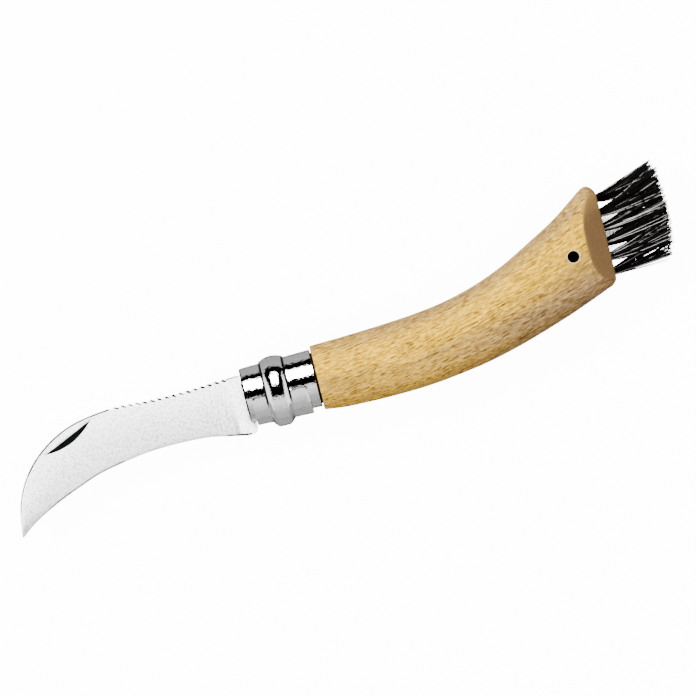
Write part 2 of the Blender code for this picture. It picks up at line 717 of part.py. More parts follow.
def handle(beech):
    """The spigot inside the collar and the curved grip, then every cut that the wood has."""
    sections = [spigot_section(SEAT_GAP), spigot_section(WOOD_START)]
    shares = [*np.linspace(0, EVEN_STATIONS_SHARE, HANDLE_STATIONS), *END_STATION_SHARES]
    sections += [handle_section(WOOD_START + s * WOOD_LENGTH, s) for s in shares]
    made = swept_loops("handle", sections, beech, (0, 0, 0))
    bevel_sides(made)
    cut(made, slot_cutter())
    reach = WOOD_RADIUS + SIDE_SWELL + CUT_OVERRUN
    cut(made, pin_axis_cylinder(PIN_RADIUS + PIN_HOLE_GAP, reach, PIN_SIDES))
    top, belly, _, _ = (float(v) for v in handle_profile(1.0))
    x, y = WOOD_END - LANYARD_SETBACK, belly + LANYARD_HEIGHT_SHARE * (top - belly)
    cut(made, cylinder("lanyard_cutter", LANYARD_RADIUS, (x, y, -reach), (x, y, reach), LANYARD_SIDES))
    depth, over = WOOD_END - TUFT_HOLE_DEPTH, WOOD_END + CUT_OVERRUN
    drills = [
        cylinder("tuft_drill", TUFT_HOLE_RADIUS, (depth, y, z), (over, y, z), TUFT_HOLE_SIDES)
        for y, z in tuft_places()
    ]
    cut(made, joined(drills, "tuft_drills"))
    pockets = [anchor_box("anchor_pocket", y, z, SEAT_GAP, None) for y, z in tuft_places()]
    cut(made, joined(pockets, "anchor_pockets"))
    shade(made, ROUND_SHADING)
    return made


# Brush


def anchor_place():
    """X of the middle of an anchor: the folded hair lies between it and the bottom of the hole."""
    return WOOD_END - TUFT_HOLE_DEPTH + SEAT_GAP + FOLD_WALL + SEAT_GAP + ANCHOR_WIDTH / 2


def anchor_box(name, y, z, grow, finish):
    """The flat wire across a tuft's hole, turned about the hole's axis and grown on every side."""
    size = Vector((ANCHOR_WIDTH / 2 + grow, ANCHOR_LENGTH / 2 + grow, ANCHOR_THICKNESS / 2 + grow))
    turn = Matrix.Rotation(ANCHOR_TURN, 3, "X")
    corners = []
    for sx, sy, sz in [(a, b, c) for a in (-1, 1) for b in (-1, 1) for c in (-1, 1)]:
        corners.append(Vector((anchor_place(), y, z)) + turn @ Vector((sx * size.x, sy * size.y, sz * size.z)))
    faces = [(0, 1, 3, 2), (4, 5, 7, 6), (0, 1, 5, 4), (2, 3, 7, 6), (0, 2, 6, 4), (1, 3, 7, 5)]
    return mesh_object(name, corners, faces, finish, (anchor_place(), y, z))


def polygon(radius, sides):
    return [(radius * math.cos(math.tau * k / sides), radius * math.sin(math.tau * k / sides)) for k in range(sides)]


def strand_roots(radius):
    """Evenly spread places inside a circle, on a sunflower spiral."""
    golden = math.pi * (3 - math.sqrt(5))
    places = []
    for k in range(STRANDS):
        r = radius * math.sqrt((k + 0.5) / STRANDS)
        places.append((r * math.cos(golden * k), r * math.sin(golden * k)))
    return places


def bristle_tuft(name, y, z, bristle):
    """One tuft: strands that spread from the top of a round root, whose lower end folds round the anchor."""
    root_radius = TUFT_HOLE_RADIUS - TUFT_SLIP_GAP
    bottom = WOOD_END - TUFT_HOLE_DEPTH + SEAT_GAP
    top = WOOD_END - TUFT_SUNK
    rim = polygon(root_radius, TUFT_SIDES)
    roots = strand_roots(root_radius * STRAND_SPREAD_SHARE)
    corners = polygon(STRAND_RADIUS, STRAND_SIDES)
    flat = list(rim)
    for u, v in roots:
        flat += [(u + a, v + b) for a, b in corners]
    wanted = [Vector((u, v)) / root_radius for u, v in flat]
    loops = [list(range(TUFT_SIDES))]
    loops += [[TUFT_SIDES + STRAND_SIDES * k + c for c in range(STRAND_SIDES)] for k in range(STRANDS)]
    cdt = delaunay_2d_cdt(wanted, [], loops, 0, 1e-6)
    where = {new: old[0] for new, old in enumerate(cdt[3])}
    vertices = [(top, y + u, z + v) for u, v in flat]
    strand_of = [None] * TUFT_SIDES + [k for k in range(STRANDS) for _ in range(STRAND_SIDES)]
    faces = []
    for triangle in cdt[2]:
        ids = [where[i] for i in triangle]
        if strand_of[ids[0]] is None or len({strand_of[i] for i in ids}) > 1:
            faces.append(ids)
    faces += tuft_strands(vertices, roots, corners, y, z)
    base = len(vertices)
    vertices += [(bottom, y + u, z + v) for u, v in rim]
    faces.append([base + k for k in range(TUFT_SIDES)])
    faces += [(k, (k + 1) % TUFT_SIDES, base + (k + 1) % TUFT_SIDES, base + k) for k in range(TUFT_SIDES)]
    made = mesh_object(name, vertices, faces, bristle, (top, y, z))
    cut(made, anchor_box("fold_window", y, z, SEAT_GAP, None))
    return made


def tuft_strands(vertices, roots, corners, y, z):
    """Adds each strand's rings to the vertices and returns its walls and tip. Strands only spread, so none cross."""
    middle, pitch, row_pitch = brush_layout()
    outward = (y - middle) / (pitch * LONG_ROW_TUFTS / 2)
    lean = math.tan(LEAN + LEAN_FAN * outward)
    side_lean = math.tan(SIDE_FAN * z / row_pitch)
    faces = []
    for k, (u, v) in enumerate(roots):
        below = TUFT_SIDES + STRAND_SIDES * k
        uneven = BRISTLE_UNEVEN * (1 + math.sin(UNEVEN_STEP * (k + LONG_ROW_TUFTS * outward))) / 2
        length = BRISTLE_LENGTH + TUFT_SUNK - BRISTLE_CROWN * outward**2 - uneven
        for share in STRAND_SEGMENT_SHARES:
            spread = 1 + (TIP_SPREAD - 1) * share**SPREAD_POWER
            along = length * share
            sideways = along * share**LEAN_POWER
            cy = y + u * spread + sideways * lean
            cz = z + v * spread + sideways * side_lean
            start = len(vertices)
            vertices += [(WOOD_END - TUFT_SUNK + along, cy + a, cz + b) for a, b in corners]
            for c in range(STRAND_SIDES):
                n = (c + 1) % STRAND_SIDES
                faces.append((below + c, below + n, start + n, start + c))
            below = start
        faces.append([below + c for c in range(STRAND_SIDES)])
    return faces


def rest_on_floor(objects):
    """Parents everything to one empty that puts the knife's box on the floor, centred on the world origin."""
    bpy.context.view_layer.update()
    corners = np.array([tuple(o.matrix_world @ v.co) for o in objects for v in o.data.vertices])
    low, high = corners.min(axis=0), corners.max(axis=0)
    knife = bpy.data.objects.new("knife", None)
    bpy.context.scene.collection.objects.link(knife)
    knife.location = (-(low[0] + high[0]) / 2, -(low[1] + high[1]) / 2, -low[2])
    for each in objects:
        each.parent = knife


def main():
    for old in list(bpy.data.objects):
        bpy.data.objects.remove(old)
    beech = material("beech", (0.72, 0.50, 0.28), 0.55)
    polished = material("polished_steel", (0.62, 0.62, 0.61), 0.15, 1.0)
    satin = material("satin_steel", (0.74, 0.74, 0.73), 0.32, 1.0)
    bristle = material("black_bristle", (0.015, 0.013, 0.012), 0.45)
    wire = material("anchor_wire", (0.55, 0.54, 0.50), 0.35, 1.0)
    made = [handle(beech), fixed_collar(polished), pivot_pin(polished), locking_ring(polished), blade(satin)]
    for k, (y, z) in enumerate(tuft_places(), start=1):
        made.append(bristle_tuft(f"bristle_tuft_{k:02d}", y, z, bristle))
        made.append(anchor_box(f"tuft_anchor_{k:02d}", y, z, 0, wire))
    rest_on_floor(made)


main()
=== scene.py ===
import json
import math

import bmesh
import bpy
import numpy as np
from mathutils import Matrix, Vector


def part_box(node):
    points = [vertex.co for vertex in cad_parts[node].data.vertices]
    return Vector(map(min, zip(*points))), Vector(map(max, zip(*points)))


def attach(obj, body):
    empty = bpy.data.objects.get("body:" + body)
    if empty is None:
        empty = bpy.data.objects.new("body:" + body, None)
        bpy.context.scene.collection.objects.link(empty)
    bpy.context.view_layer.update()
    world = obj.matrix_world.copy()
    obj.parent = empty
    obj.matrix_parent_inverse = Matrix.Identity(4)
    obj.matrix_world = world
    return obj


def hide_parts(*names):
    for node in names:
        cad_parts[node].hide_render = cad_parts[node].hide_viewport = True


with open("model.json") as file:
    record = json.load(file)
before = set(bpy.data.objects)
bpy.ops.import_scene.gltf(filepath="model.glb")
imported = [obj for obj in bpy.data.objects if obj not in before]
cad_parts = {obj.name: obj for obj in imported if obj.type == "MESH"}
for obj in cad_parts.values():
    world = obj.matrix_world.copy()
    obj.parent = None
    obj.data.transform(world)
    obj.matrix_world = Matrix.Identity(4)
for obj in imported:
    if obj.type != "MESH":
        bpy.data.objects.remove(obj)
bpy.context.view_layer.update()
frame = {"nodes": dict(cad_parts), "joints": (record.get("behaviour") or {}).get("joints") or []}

# Blade
# One piece of stainless steel, from its hooked tip to the round tang that turns on the pivot pin. It is
# blanked from sheet and its flanks are ground down to the edge. Scraping scallops are filed along the
# straight part of its spine, and a nail nick is pressed into the upper flank.
MM = 0.001
joints = {joint["name"]: joint for joint in frame["joints"]}
collar_axis = np.array(joints["ring_turn"]["pos_m"])
rim_middle = np.array([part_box("fixed_collar")[0][0], collar_axis[1], collar_axis[2]])
pivot = (np.array(joints["blade_fold"]["pos_m"]) - rim_middle)[:2] / MM

BLADE_HALF = 0.85
BLADE_REACH = 75.2
TIP_Y = -25.6
SPINE_Y = 6.45
HEEL_Y = -11.95
SHOULDER_X = -0.4
NECK_Y = 3.6
TANG_RADIUS = 6.22
HEEL_X = 1.5
HEEL_ROUND = 1.6
RICASSO_X = -3.4
PLUNGE = 2.2
GRIND_DEPTH, GRIND_POWER = 0.65, 1.9
EDGE_HALF, HONED_RISE, HONED_SHARE = 0.06, 0.14, 0.05
SPINE_CHAMFER, SCALLOP_CHAMFER, CHAMFER_SLOPE = 0.2, 0.4, 0.62
PIN_BORE = 1.85
RAIL_POINTS, HEEL_POINTS, TANG_POINTS = 560, 22, 60
SCALLOPS = 16
SCALLOP_SHARES = (0.055, 0.533)
SCALLOP_DEPTH = 0.5
SCALLOP_LEAD = 0.25
# Shares of the reach, and of the fall from the spine or from the heel to the tip
SPINE_SHARES = ((0.000, 0.000), (0.075, 0.002), (0.243, 0.023), (0.367, 0.023), (0.516, 0.009),
                (0.622, 0.033), (0.703, 0.073), (0.779, 0.148), (0.846, 0.251), (0.900, 0.370),
                (0.940, 0.498), (0.965, 0.613), (0.984, 0.747), (0.995, 0.888), (1.000, 0.992))
EDGE_SHARES = ((0.018, 0.000), (0.084, -0.070), (0.170, -0.165), (0.251, -0.194), (0.319, -0.198),
               (0.424, -0.172), (0.532, -0.084), (0.640, 0.040), (0.715, 0.186), (0.791, 0.351),
               (0.870, 0.551), (0.936, 0.751), (0.997, 1.000))


def hermite(knots, values, wanted):
    """A cubic through the values at the knots. Each knot's slope comes from its neighbours."""
    knots, values, wanted = (np.asarray(a, float) for a in (knots, values, wanted))
    slopes = np.gradient(values, knots)
    k = np.clip(np.searchsorted(knots, wanted, side="right") - 1, 0, len(knots) - 2)
    span = knots[k + 1] - knots[k]
    t = (wanted - knots[k]) / span
    start = (1 + 2 * t) * (1 - t) ** 2 * values[k] + t * (1 - t) ** 2 * span * slopes[k]
    end = t * t * (3 - 2 * t) * values[k + 1] + t * t * (t - 1) * span * slopes[k + 1]
    return start + end


def evenly(points, count):
    """Points at equal distances along a line through many points."""
    points = np.asarray(points, float)
    along = np.concatenate([[0.0], np.cumsum(np.linalg.norm(np.diff(points, axis=0), axis=1))])
    even = np.linspace(0.0, along[-1], count)
    return np.stack([np.interp(even, along, points[:, k]) for k in range(points.shape[1])], axis=1)


def smooth_curve(points, count):
    """Even points on a cubic through the points; its parameter is the straight distance between them."""
    points = np.asarray(points, float)
    knots = np.concatenate([[0.0], np.cumsum(np.linalg.norm(np.diff(points, axis=0), axis=1))])
    dense = np.linspace(0.0, knots[-1], 4 * count)
    return evenly(np.stack([hermite(knots, points[:, k], dense) for k in range(2)], axis=1), count)


def smooth_step(x):
    """0 below 0 and 1 above 1, with a level start and end between them."""
    x = np.clip(x, 0.0, 1.0)
    return x * x * (3 - 2 * x)


def lesser(a, b, blend):
    """The smaller of two heights, the corner between them rounded over the blend's length."""
    h = np.clip(0.5 + 0.5 * (b - a) / blend, 0.0, 1.0)
    return b * (1 - h) + a * h - blend * h * (1 - h)


def arc(centre, radius, start, end, count):
    """Points on a circle's arc between two angles in degrees."""
    a = np.radians(np.linspace(start, end, count))
    return np.stack([centre[0] + radius * np.cos(a), centre[1] + radius * np.sin(a)], axis=1)


def tube_faces(rows, size):
    """Quads between neighbouring points of a grid laid out row after row; each row closes into a loop."""
    r, c = np.meshgrid(np.arange(rows - 1), np.arange(size), indexing="ij")
    a, b = r * size + c, r * size + (c + 1) % size
    return np.stack([a, b, b + size, a + size], axis=-1).reshape(-1, 4)


def capped_tube(grid):
    """Points and faces of a solid through a row of closed loops, with a flat cap at each end."""
    rows, size, _ = grid.shape
    faces = tube_faces(rows, size).tolist()
    return grid.reshape(-1, 3), faces + [list(range(size)), list(range((rows - 1) * size, rows * size))]


def solid(name, points, faces, *finishes):
    """An object from points in millimetres from the middle of the collar's front rim, faces outwards."""
    mesh = bpy.data.meshes.new(name)
    mesh.from_pydata((np.asarray(points) * MM + rim_middle).tolist(), [], faces)
    shell = bmesh.new()
    shell.from_mesh(mesh)
    bmesh.ops.recalc_face_normals(shell, faces=shell.faces)
    shell.to_mesh(mesh)
    shell.free()
    for finish in finishes:
        mesh.materials.append(finish)
    made = bpy.data.objects.new(name, mesh)
    bpy.context.scene.collection.objects.link(made)
    return made


def cut(made, cutter):
    """Takes the cutter out of the object; the cut walls keep the cutter's finish where it has one."""
    modifier = made.modifiers.new("cut", "BOOLEAN")
    modifier.operation, modifier.solver, modifier.object = "DIFFERENCE", "EXACT", cutter
    modifier.material_mode = "TRANSFER" if cutter.data.materials else "INDEX"
    bpy.context.view_layer.update()
    mesh = bpy.data.meshes.new_from_object(made.evaluated_get(bpy.context.evaluated_depsgraph_get()))
    made.modifiers.clear()
    made.data = mesh
    bpy.data.objects.remove(cutter)


def revolved(profile, place, axis, sides=48):
    """Points and faces of a solid of revolution: distances along the axis and radii, carried round it."""
    profile = np.asarray(profile, float)
    a = np.linspace(0, 2 * np.pi, sides, endpoint=False)
    along = np.repeat(profile[:, :1], sides, axis=1)
    u, v = profile[:, 1:] * np.cos(a), profile[:, 1:] * np.sin(a)
    points, faces = capped_tube(np.stack((along, u, v) if axis == "x" else (u, v, along), axis=-1))
    return points + np.asarray(place), faces


def smooth_sides(made, degrees):
    """Smooth shading, with sharp edges where two faces meet at more than the angle."""
    made.data.shade_smooth()
    made.data.set_sharp_from_angle(angle=math.radians(degrees))


def blade_side(shares, start_y):
    """A side of the blade, from the shoulder or the heel to the tip, through shares of its reach and fall."""
    points = [(SHOULDER_X - x * BLADE_REACH, start_y + y * (TIP_Y - start_y)) for x, y in shares]
    return smooth_curve(points, RAIL_POINTS)


spine = blade_side(SPINE_SHARES, SPINE_Y)
edge = blade_side(EDGE_SHARES, HEEL_Y)
scallop_start, scallop_end = (SHOULDER_X - share * BLADE_REACH for share in SCALLOP_SHARES)
phase = (spine[:, 0] - scallop_start) / (scallop_end - scallop_start) * SCALLOPS
beyond = np.maximum(0, np.maximum(-phase, phase - SCALLOPS))
dip = np.where(beyond > 0, np.maximum(0, 1 - beyond / SCALLOP_LEAD), 1 - np.abs(np.sin(np.pi * phase)))
filed = spine - np.stack([0 * dip, SCALLOP_DEPTH * dip], axis=1)

# Two rails run from the tip to the back of the tang, over spine, shoulder and neck, and over edge and heel
heel = np.concatenate([[(SHOULDER_X - EDGE_SHARES[0][0] * BLADE_REACH, HEEL_Y)],
                       arc((HEEL_X - HEEL_ROUND, HEEL_Y + HEEL_ROUND), HEEL_ROUND, -90, 0, 12),
                       [(HEEL_X, pivot[1] - TANG_RADIUS)]])
neck_angle = 180 - math.degrees(math.asin((NECK_Y - pivot[1]) / TANG_RADIUS))
neck = np.concatenate([[(SHOULDER_X, NECK_Y)], arc(pivot, TANG_RADIUS, neck_angle, 0, 60)])
under = np.concatenate([[(HEEL_X, pivot[1] - TANG_RADIUS)], arc(pivot, TANG_RADIUS, -90, 0, 60)])
shoulder = np.array([(SHOULDER_X, SPINE_Y), (SHOULDER_X, NECK_Y)])
upper = np.concatenate([filed[::-1], evenly(shoulder, HEEL_POINTS)[1:], evenly(neck, TANG_POINTS)[1:]])
lower = np.concatenate([edge[::-1], evenly(heel, HEEL_POINTS)[1:], evenly(under, TANG_POINTS)[1:]])


def blade_half_thickness(share, x, from_spine, chamfer):
    """Half the thickness at a share of the way from edge to spine: a power curve for the grind, a straight
    line for the honed edge, full thickness behind the plunge, and a chamfer along the spine."""
    hollow = (1 - np.clip((share - HONED_SHARE) / (1 - HONED_SHARE), 0, 1)) ** GRIND_POWER
    ground = BLADE_HALF - GRIND_DEPTH * hollow
    honed = np.where(share < HONED_SHARE, EDGE_HALF + share * HONED_RISE / HONED_SHARE, ground)
    flat = smooth_step((x - (RICASSO_X - PLUNGE)) / PLUNGE)
    heel_bevel = np.where(share < 0.03, smooth_step((x + 1.3) / 0.6), 1.0)
    height = honed * (1 - flat * heel_bevel) + BLADE_HALF * flat * heel_bevel
    return np.minimum(height, BLADE_HALF - CHAMFER_SLOPE * np.maximum(0.0, chamfer - from_spine))


# Across the blade the points lie at set shares of its width, and close to the spine at set distances. The
# chamfer along the spine is broader in each scallop, on the side towards the heel.
width = np.linalg.norm(upper - lower, axis=1)[:, None]
near_edge = np.array([0, 0.012, 0.025, 0.038, 0.05, 0.052, 0.07, 0.1, 0.16, 0.24, 0.32, 0.4, 0.46, 0.5, 0.53,
                      0.56, 0.6, 0.65, 0.7, 0.76, 0.82, 0.88])[None, :]
chamfer = np.where(upper[:, 0] < SHOULDER_X, SPINE_CHAMFER, 0.0)[:, None]
on_scallop = ((beyond == 0) * np.exp(-(((phase % 1 - 0.3) / 0.24) ** 2)))[::-1]
chamfer[: len(filed), 0] += SCALLOP_CHAMFER * on_scallop
steps = np.array([0.75, 0.55, 0.4, 0.27, 0.13, 0.0])[None, :]
near_spine = 1 - np.minimum(steps / np.maximum(width, 1e-6), 0.11 * steps / 0.75)
shares = np.concatenate([np.repeat(near_edge, len(upper), axis=0), near_spine], axis=1)
flank = lower[:, None, :] + shares[:, :, None] * (upper - lower)[:, None, :]
half = blade_half_thickness(shares, flank[:, :, 0], (1 - shares) * width, np.minimum(chamfer, 0.2 * width))
top_side = np.concatenate([flank, half[:, :, None]], axis=2)
bottom_side = np.concatenate([flank, -half[:, :, None]], axis=2)[:, ::-1]


def add(tree, kind, links=None, **settings):
    """Adds a node to a tree, sets its own properties, and sets or links its inputs."""
    made = tree.nodes.new("ShaderNode" + kind)
    for key, value in settings.items():
        setattr(made, key, value)
    for socket, value in (links or {}).items():
        if isinstance(value, bpy.types.NodeSocket):
            tree.links.new(value, made.inputs[socket])
        else:
            made.inputs[socket].default_value = value
    return made


def sum_of(tree, operation, *values, clamp=False):
    """The output of a Math node over up to three values or sockets."""
    return add(tree, "Math", dict(enumerate(values)), operation=operation, use_clamp=clamp).outputs[0]


def ramp(tree, value, low, high, start=0.0, end=1.0):
    """A smooth change from one number to another while the value goes from low to high."""
    links = {"Value": value, "From Min": low, "From Max": high, "To Min": start, "To Max": end}
    return add(tree, "MapRange", links, interpolation_type="SMOOTHSTEP").outputs[0]


def mixed(tree, share, first, second):
    """A colour between two others."""
    return add(tree, "Mix", {0: share, 6: first, 7: second}, data_type="RGBA").outputs[2]


def finish(name, **constants):
    """A material with its Principled shader and Object coordinates in millimetres from the collar's rim."""
    made = bpy.data.materials.new(name)
    made.use_nodes = True
    tree = made.node_tree
    shader = tree.nodes["Principled BSDF"]
    for socket, value in constants.items():
        shader.inputs[socket.replace("_", " ")].default_value = value
    place = add(tree, "Mapping", {"Vector": add(tree, "TexCoord").outputs["Object"], "Scale": (1 / MM,) * 3,
                                  "Location": tuple(-rim_middle / MM)})
    return made, tree, shader, place.outputs[0]


def feed(tree, shader, **sockets):
    """Links outputs to the shader's inputs of these names."""
    for name, value in sockets.items():
        tree.links.new(value, shader.inputs[name.replace("_", " ")])


def bumps(tree, height, strength, distance):
    """A normal that stands up and down with the height."""
    return add(tree, "Bump", {"Height": height, "Strength": strength, "Distance": distance}).outputs[0]


def warm_grey(tree, tone):
    """The colour of bare steel: a grey with a little less blue."""
    return add(tree, "CombineColor", {0: tone, 1: tone, 2: sum_of(tree, "MULTIPLY", tone, 0.985)}).outputs[0]


def effect(name, inputs, outputs):
    """A node group with named inputs and outputs, and the two nodes that carry them."""
    group = bpy.data.node_groups.new(name, "ShaderNodeTree")
    for socket, kind in inputs:
        group.interface.new_socket(name=socket, in_out="INPUT", socket_type="NodeSocket" + kind)
    for socket, kind in outputs:
        group.interface.new_socket(name=socket, in_out="OUTPUT", socket_type="NodeSocket" + kind)
    return group, group.nodes.new("NodeGroupInput"), group.nodes.new("NodeGroupOutput")


def placed(tree, group, links):
    """The output of an effect in a material, with its own values."""
    return add(tree, "Group", links, node_tree=group).outputs[0]


# Streaks: noise drawn out along one direction, for grinding marks in steel and fibres in wood
streaks, streaks_in, streaks_out = effect(
    "streaks",
    [("Vector", "Vector"), ("Stretch", "Vector"), ("Contrast", "Float")],
    [("Lines", "Float")],
)
drawn = add(streaks, "VectorMath", {0: streaks_in.outputs["Vector"], 1: streaks_in.outputs["Stretch"]},
            operation="MULTIPLY").outputs[0]
noise = add(streaks, "TexNoise", {"Vector": drawn, "Scale": 1.0, "Detail": 3.0, "Roughness": 0.65})
lines = sum_of(streaks, "MULTIPLY_ADD", sum_of(streaks, "SUBTRACT", noise.outputs["Fac"], 0.5),
               streaks_in.outputs["Contrast"], 0.5, clamp=True)
streaks.links.new(lines, streaks_out.inputs["Lines"])

# The grinding marks run across the blade and show most in front of the heel; the rest is an even fine speckle
satin_steel, tree, shader, mm = finish("satin_steel", Metallic=1.0)
across = placed(tree, streaks, {"Vector": mm, "Stretch": (2.4, 0.16, 1.0), "Contrast": 2.6})
speckle = placed(tree, streaks, {"Vector": mm, "Stretch": (2.3, 1.7, 1.0), "Contrast": 3.0})
x = add(tree, "SeparateXYZ", {0: mm}).outputs[0]
near_heel = sum_of(tree, "MULTIPLY", ramp(tree, x, -24.0, -8.0), ramp(tree, x, -2.9, -3.6))
marks = sum_of(tree, "MULTIPLY_ADD", near_heel, 0.8, 0.12)
pattern = mixed(tree, marks, (0.5, 0.5, 0.5, 1.0), across)
tone = sum_of(tree, "MULTIPLY_ADD", sum_of(tree, "SUBTRACT", pattern, 0.5), 0.5, 0.88)
tone = sum_of(tree, "MULTIPLY_ADD", sum_of(tree, "SUBTRACT", speckle, 0.5), 0.9, tone, clamp=True)
feed(tree, shader, Base_Color=warm_grey(tree, tone),
     Roughness=sum_of(tree, "MULTIPLY_ADD", pattern, 0.06, 0.47),
     Normal=bumps(tree, sum_of(tree, "MULTIPLY_ADD", speckle, 0.3, pattern), 0.25, 0.00002))

# Near-black, smoother steel for the narrow filed, honed, pressed and sheared faces: its colour is painted
# shade, standing in for the dark lines these faces show
painted_shade_steel, tree, shader, mm = finish("painted_shade_steel", Metallic=1.0)
dents = placed(tree, streaks, {"Vector": mm, "Stretch": (1.2, 3.2, 2.0), "Contrast": 1.8})
feed(tree, shader, Base_Color=mixed(tree, dents, (0.002, 0.002, 0.002, 1.0), (0.007, 0.007, 0.007, 1.0)),
     Roughness=sum_of(tree, "MULTIPLY_ADD", dents, 0.08, 0.16))

blade = solid("blade_steel", *capped_tube(np.concatenate([top_side, bottom_side], axis=1)), satin_steel,
              painted_shade_steel)

# Faces are counted across each row from the edge and from the wall of the spine. The filed band along the
# spine, painted near-black as shade, is broadest in the scallops, and the honed band along the edge, painted
# the same, is broadest near the tip.
columns = 2 * shares.shape[1]
face = np.arange(columns)[None, :]
from_wall = np.abs(face - (shares.shape[1] - 1))
from_edge = np.minimum(face, columns - 2 - face) % columns
spine_x, edge_x = upper[:-1, :1], lower[:-1, :1]
in_blade = spine_x < SHOULDER_X
worked_and_shaded = in_blade & ((from_wall < 2) | (spine_x > scallop_start) & (from_wall < 4))
for least, faces in ((-74.5, 4), (-70, 5)):
    worked_and_shaded |= (spine_x > least) & (spine_x < scallop_end - 0.6) & (from_wall < faces)
for least, faces in ((0.2, 5), (0.6, 6)):
    worked_and_shaded[: len(filed)] |= (on_scallop > least)[:, None] & (from_wall < faces)
for first, last, faces in ((-99, -58, 3), (-99, -40, 2), (-8, -0.7, 2)):
    worked_and_shaded |= (edge_x > first) & (edge_x < last) & (from_edge < faces)
blade.data.polygons.foreach_set("material_index", np.append(worked_and_shaded.ravel(), [False, False]).astype(np.int32))
cut(blade, solid("pin_bore", *revolved([(-3, PIN_BORE), (3, PIN_BORE)], (*pivot, 0), "z")))

# The nick's floor falls from a straight side, level with the flank, to the arc, where its wall leans outwards
NICK_LENGTH, NICK_BULGE, NICK_DEPTH, NICK_TURN = 17.6, 1.9, 0.5, 24.0
NICK_ABOVE, NICK_WALL_LEAN, NICK_POINTS = 0.3, 0.16, 40
NICK_REACH_SHARE, NICK_FALL_SHARE = 0.727, 0.18
nick_radius = (NICK_LENGTH**2 / 4 + NICK_BULGE**2) / (2 * NICK_BULGE)
nick_reach = math.degrees(math.asin(NICK_LENGTH / 2 / nick_radius))
nick_middle = (0, nick_radius - NICK_BULGE)
floor_line = arc(nick_middle, nick_radius, -90 - nick_reach, -90 + nick_reach, NICK_POINTS)
fall = NICK_DEPTH / NICK_BULGE * floor_line[:, 1:]
rim_line = floor_line * (1 + NICK_WALL_LEAN * np.array([0.0, 1.0]) * -floor_line[:, 1:] / NICK_BULGE)
nick = np.concatenate([np.concatenate([floor_line, fall], axis=1),
                       np.concatenate([rim_line, 0 * fall + NICK_ABOVE], axis=1)])
c, s = math.cos(math.radians(NICK_TURN)), math.sin(math.radians(NICK_TURN))
nick = nick @ np.array([[c, s, 0], [-s, c, 0], [0, 0, 1]])
nick += (SHOULDER_X - NICK_REACH_SHARE * BLADE_REACH, SPINE_Y + NICK_FALL_SHARE * (TIP_Y - SPINE_Y),
         BLADE_HALF)
press = solid("nick_press", *capped_tube(nick.reshape(2, NICK_POINTS, 3)), painted_shade_steel, satin_steel)
# The nick's floor and wall take the near-black steel, painted shade in the pressed recess; the half of the
# wall towards the heel stays as bright as the flank
press.data.polygons.foreach_set("material_index", [int(22 < k < 38) for k in range(NICK_POINTS)] + [0, 0])
cut(blade, press)
smooth_sides(blade, 16)
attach(blade, "blade")
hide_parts("blade")

# Handle
# One curved piece of beech, round at the collar and flatter towards the brush. It is turned and shaped on
# all sides, slit by a saw for the blade, bored for the pin and a lanyard, bevelled at the brush end and
# drilled for the tufts. Its front end is a spigot inside the fixed collar.
COLLAR_LENGTH = 22.2
COLLAR_FRONT_RADIUS, COLLAR_TAPER = 8.35, 0.6
COLLAR_WALL = 0.8
WOOD_START = 22.5
WOOD_RADIUS = 9.95
TOP_RISE = 26.8
BELLY_RISE = 16.7
SLOT_HALF = 1.15
SLOT_ROOM = 0.6
SLOT_END_WALL = 5.1
FOLD_DEGREES = 176
LANYARD_RADIUS, LANYARD_IN = 1.65, 11.4
FLARE_RADIUS = 1.93
TUFT_HOLE_RADIUS, TUFT_HOLE_DEPTH, TUFT_HOLE_SIDES = 1.5, 8, 28
tip_swing = float(np.hypot(SHOULDER_X - BLADE_REACH - pivot[0], TIP_Y - pivot[1])) + SLOT_ROOM
WOOD_END = pivot[0] + tip_swing + SLOT_END_WALL + LANYARD_RADIUS + LANYARD_IN
WOOD_LENGTH = WOOD_END - WOOD_START
# Rise of the top and of the belly at shares of the wood's length
TOP_SHARES = ((0.000, 0.000), (0.100, 0.012), (0.236, 0.037), (0.340, 0.065), (0.445, 0.117),
              (0.550, 0.210), (0.654, 0.350), (0.759, 0.540), (0.853, 0.724), (0.927, 0.905),
              (0.953, 0.970), (0.971, 1.000), (0.985, 0.982), (0.995, 0.948), (1.000, 0.915))
BELLY_SHARES = ((0.000, 0.000), (0.058, -0.042), (0.141, -0.060), (0.236, -0.060), (0.340, -0.036),
                (0.445, 0.030), (0.550, 0.126), (0.654, 0.269), (0.759, 0.449), (0.853, 0.629),
                (0.927, 0.790), (0.969, 0.886), (0.990, 0.940), (1.000, 1.000))
BEVEL_LENGTH, BEVEL_DEPTH = 6.3, 3.9


def collar_radius(x):
    """Outer radius of the tapered collar at a distance behind its front rim."""
    return COLLAR_FRONT_RADIUS + COLLAR_TAPER * x / COLLAR_LENGTH


def wood_profile(x):
    """Top, belly, half thickness and roundness of the wood at a distance behind the collar's front rim."""
    share = np.clip((x - WOOD_START) / WOOD_LENGTH, 0, 1)
    top = WOOD_RADIUS + TOP_RISE * hermite(*zip(*TOP_SHARES), share)
    belly = -WOOD_RADIUS + BELLY_RISE * hermite(*zip(*BELLY_SHARES), share)
    return top, belly, WOOD_RADIUS + 0.4 * np.sin(np.pi * share) - 0.1 * share, 2.0 + share


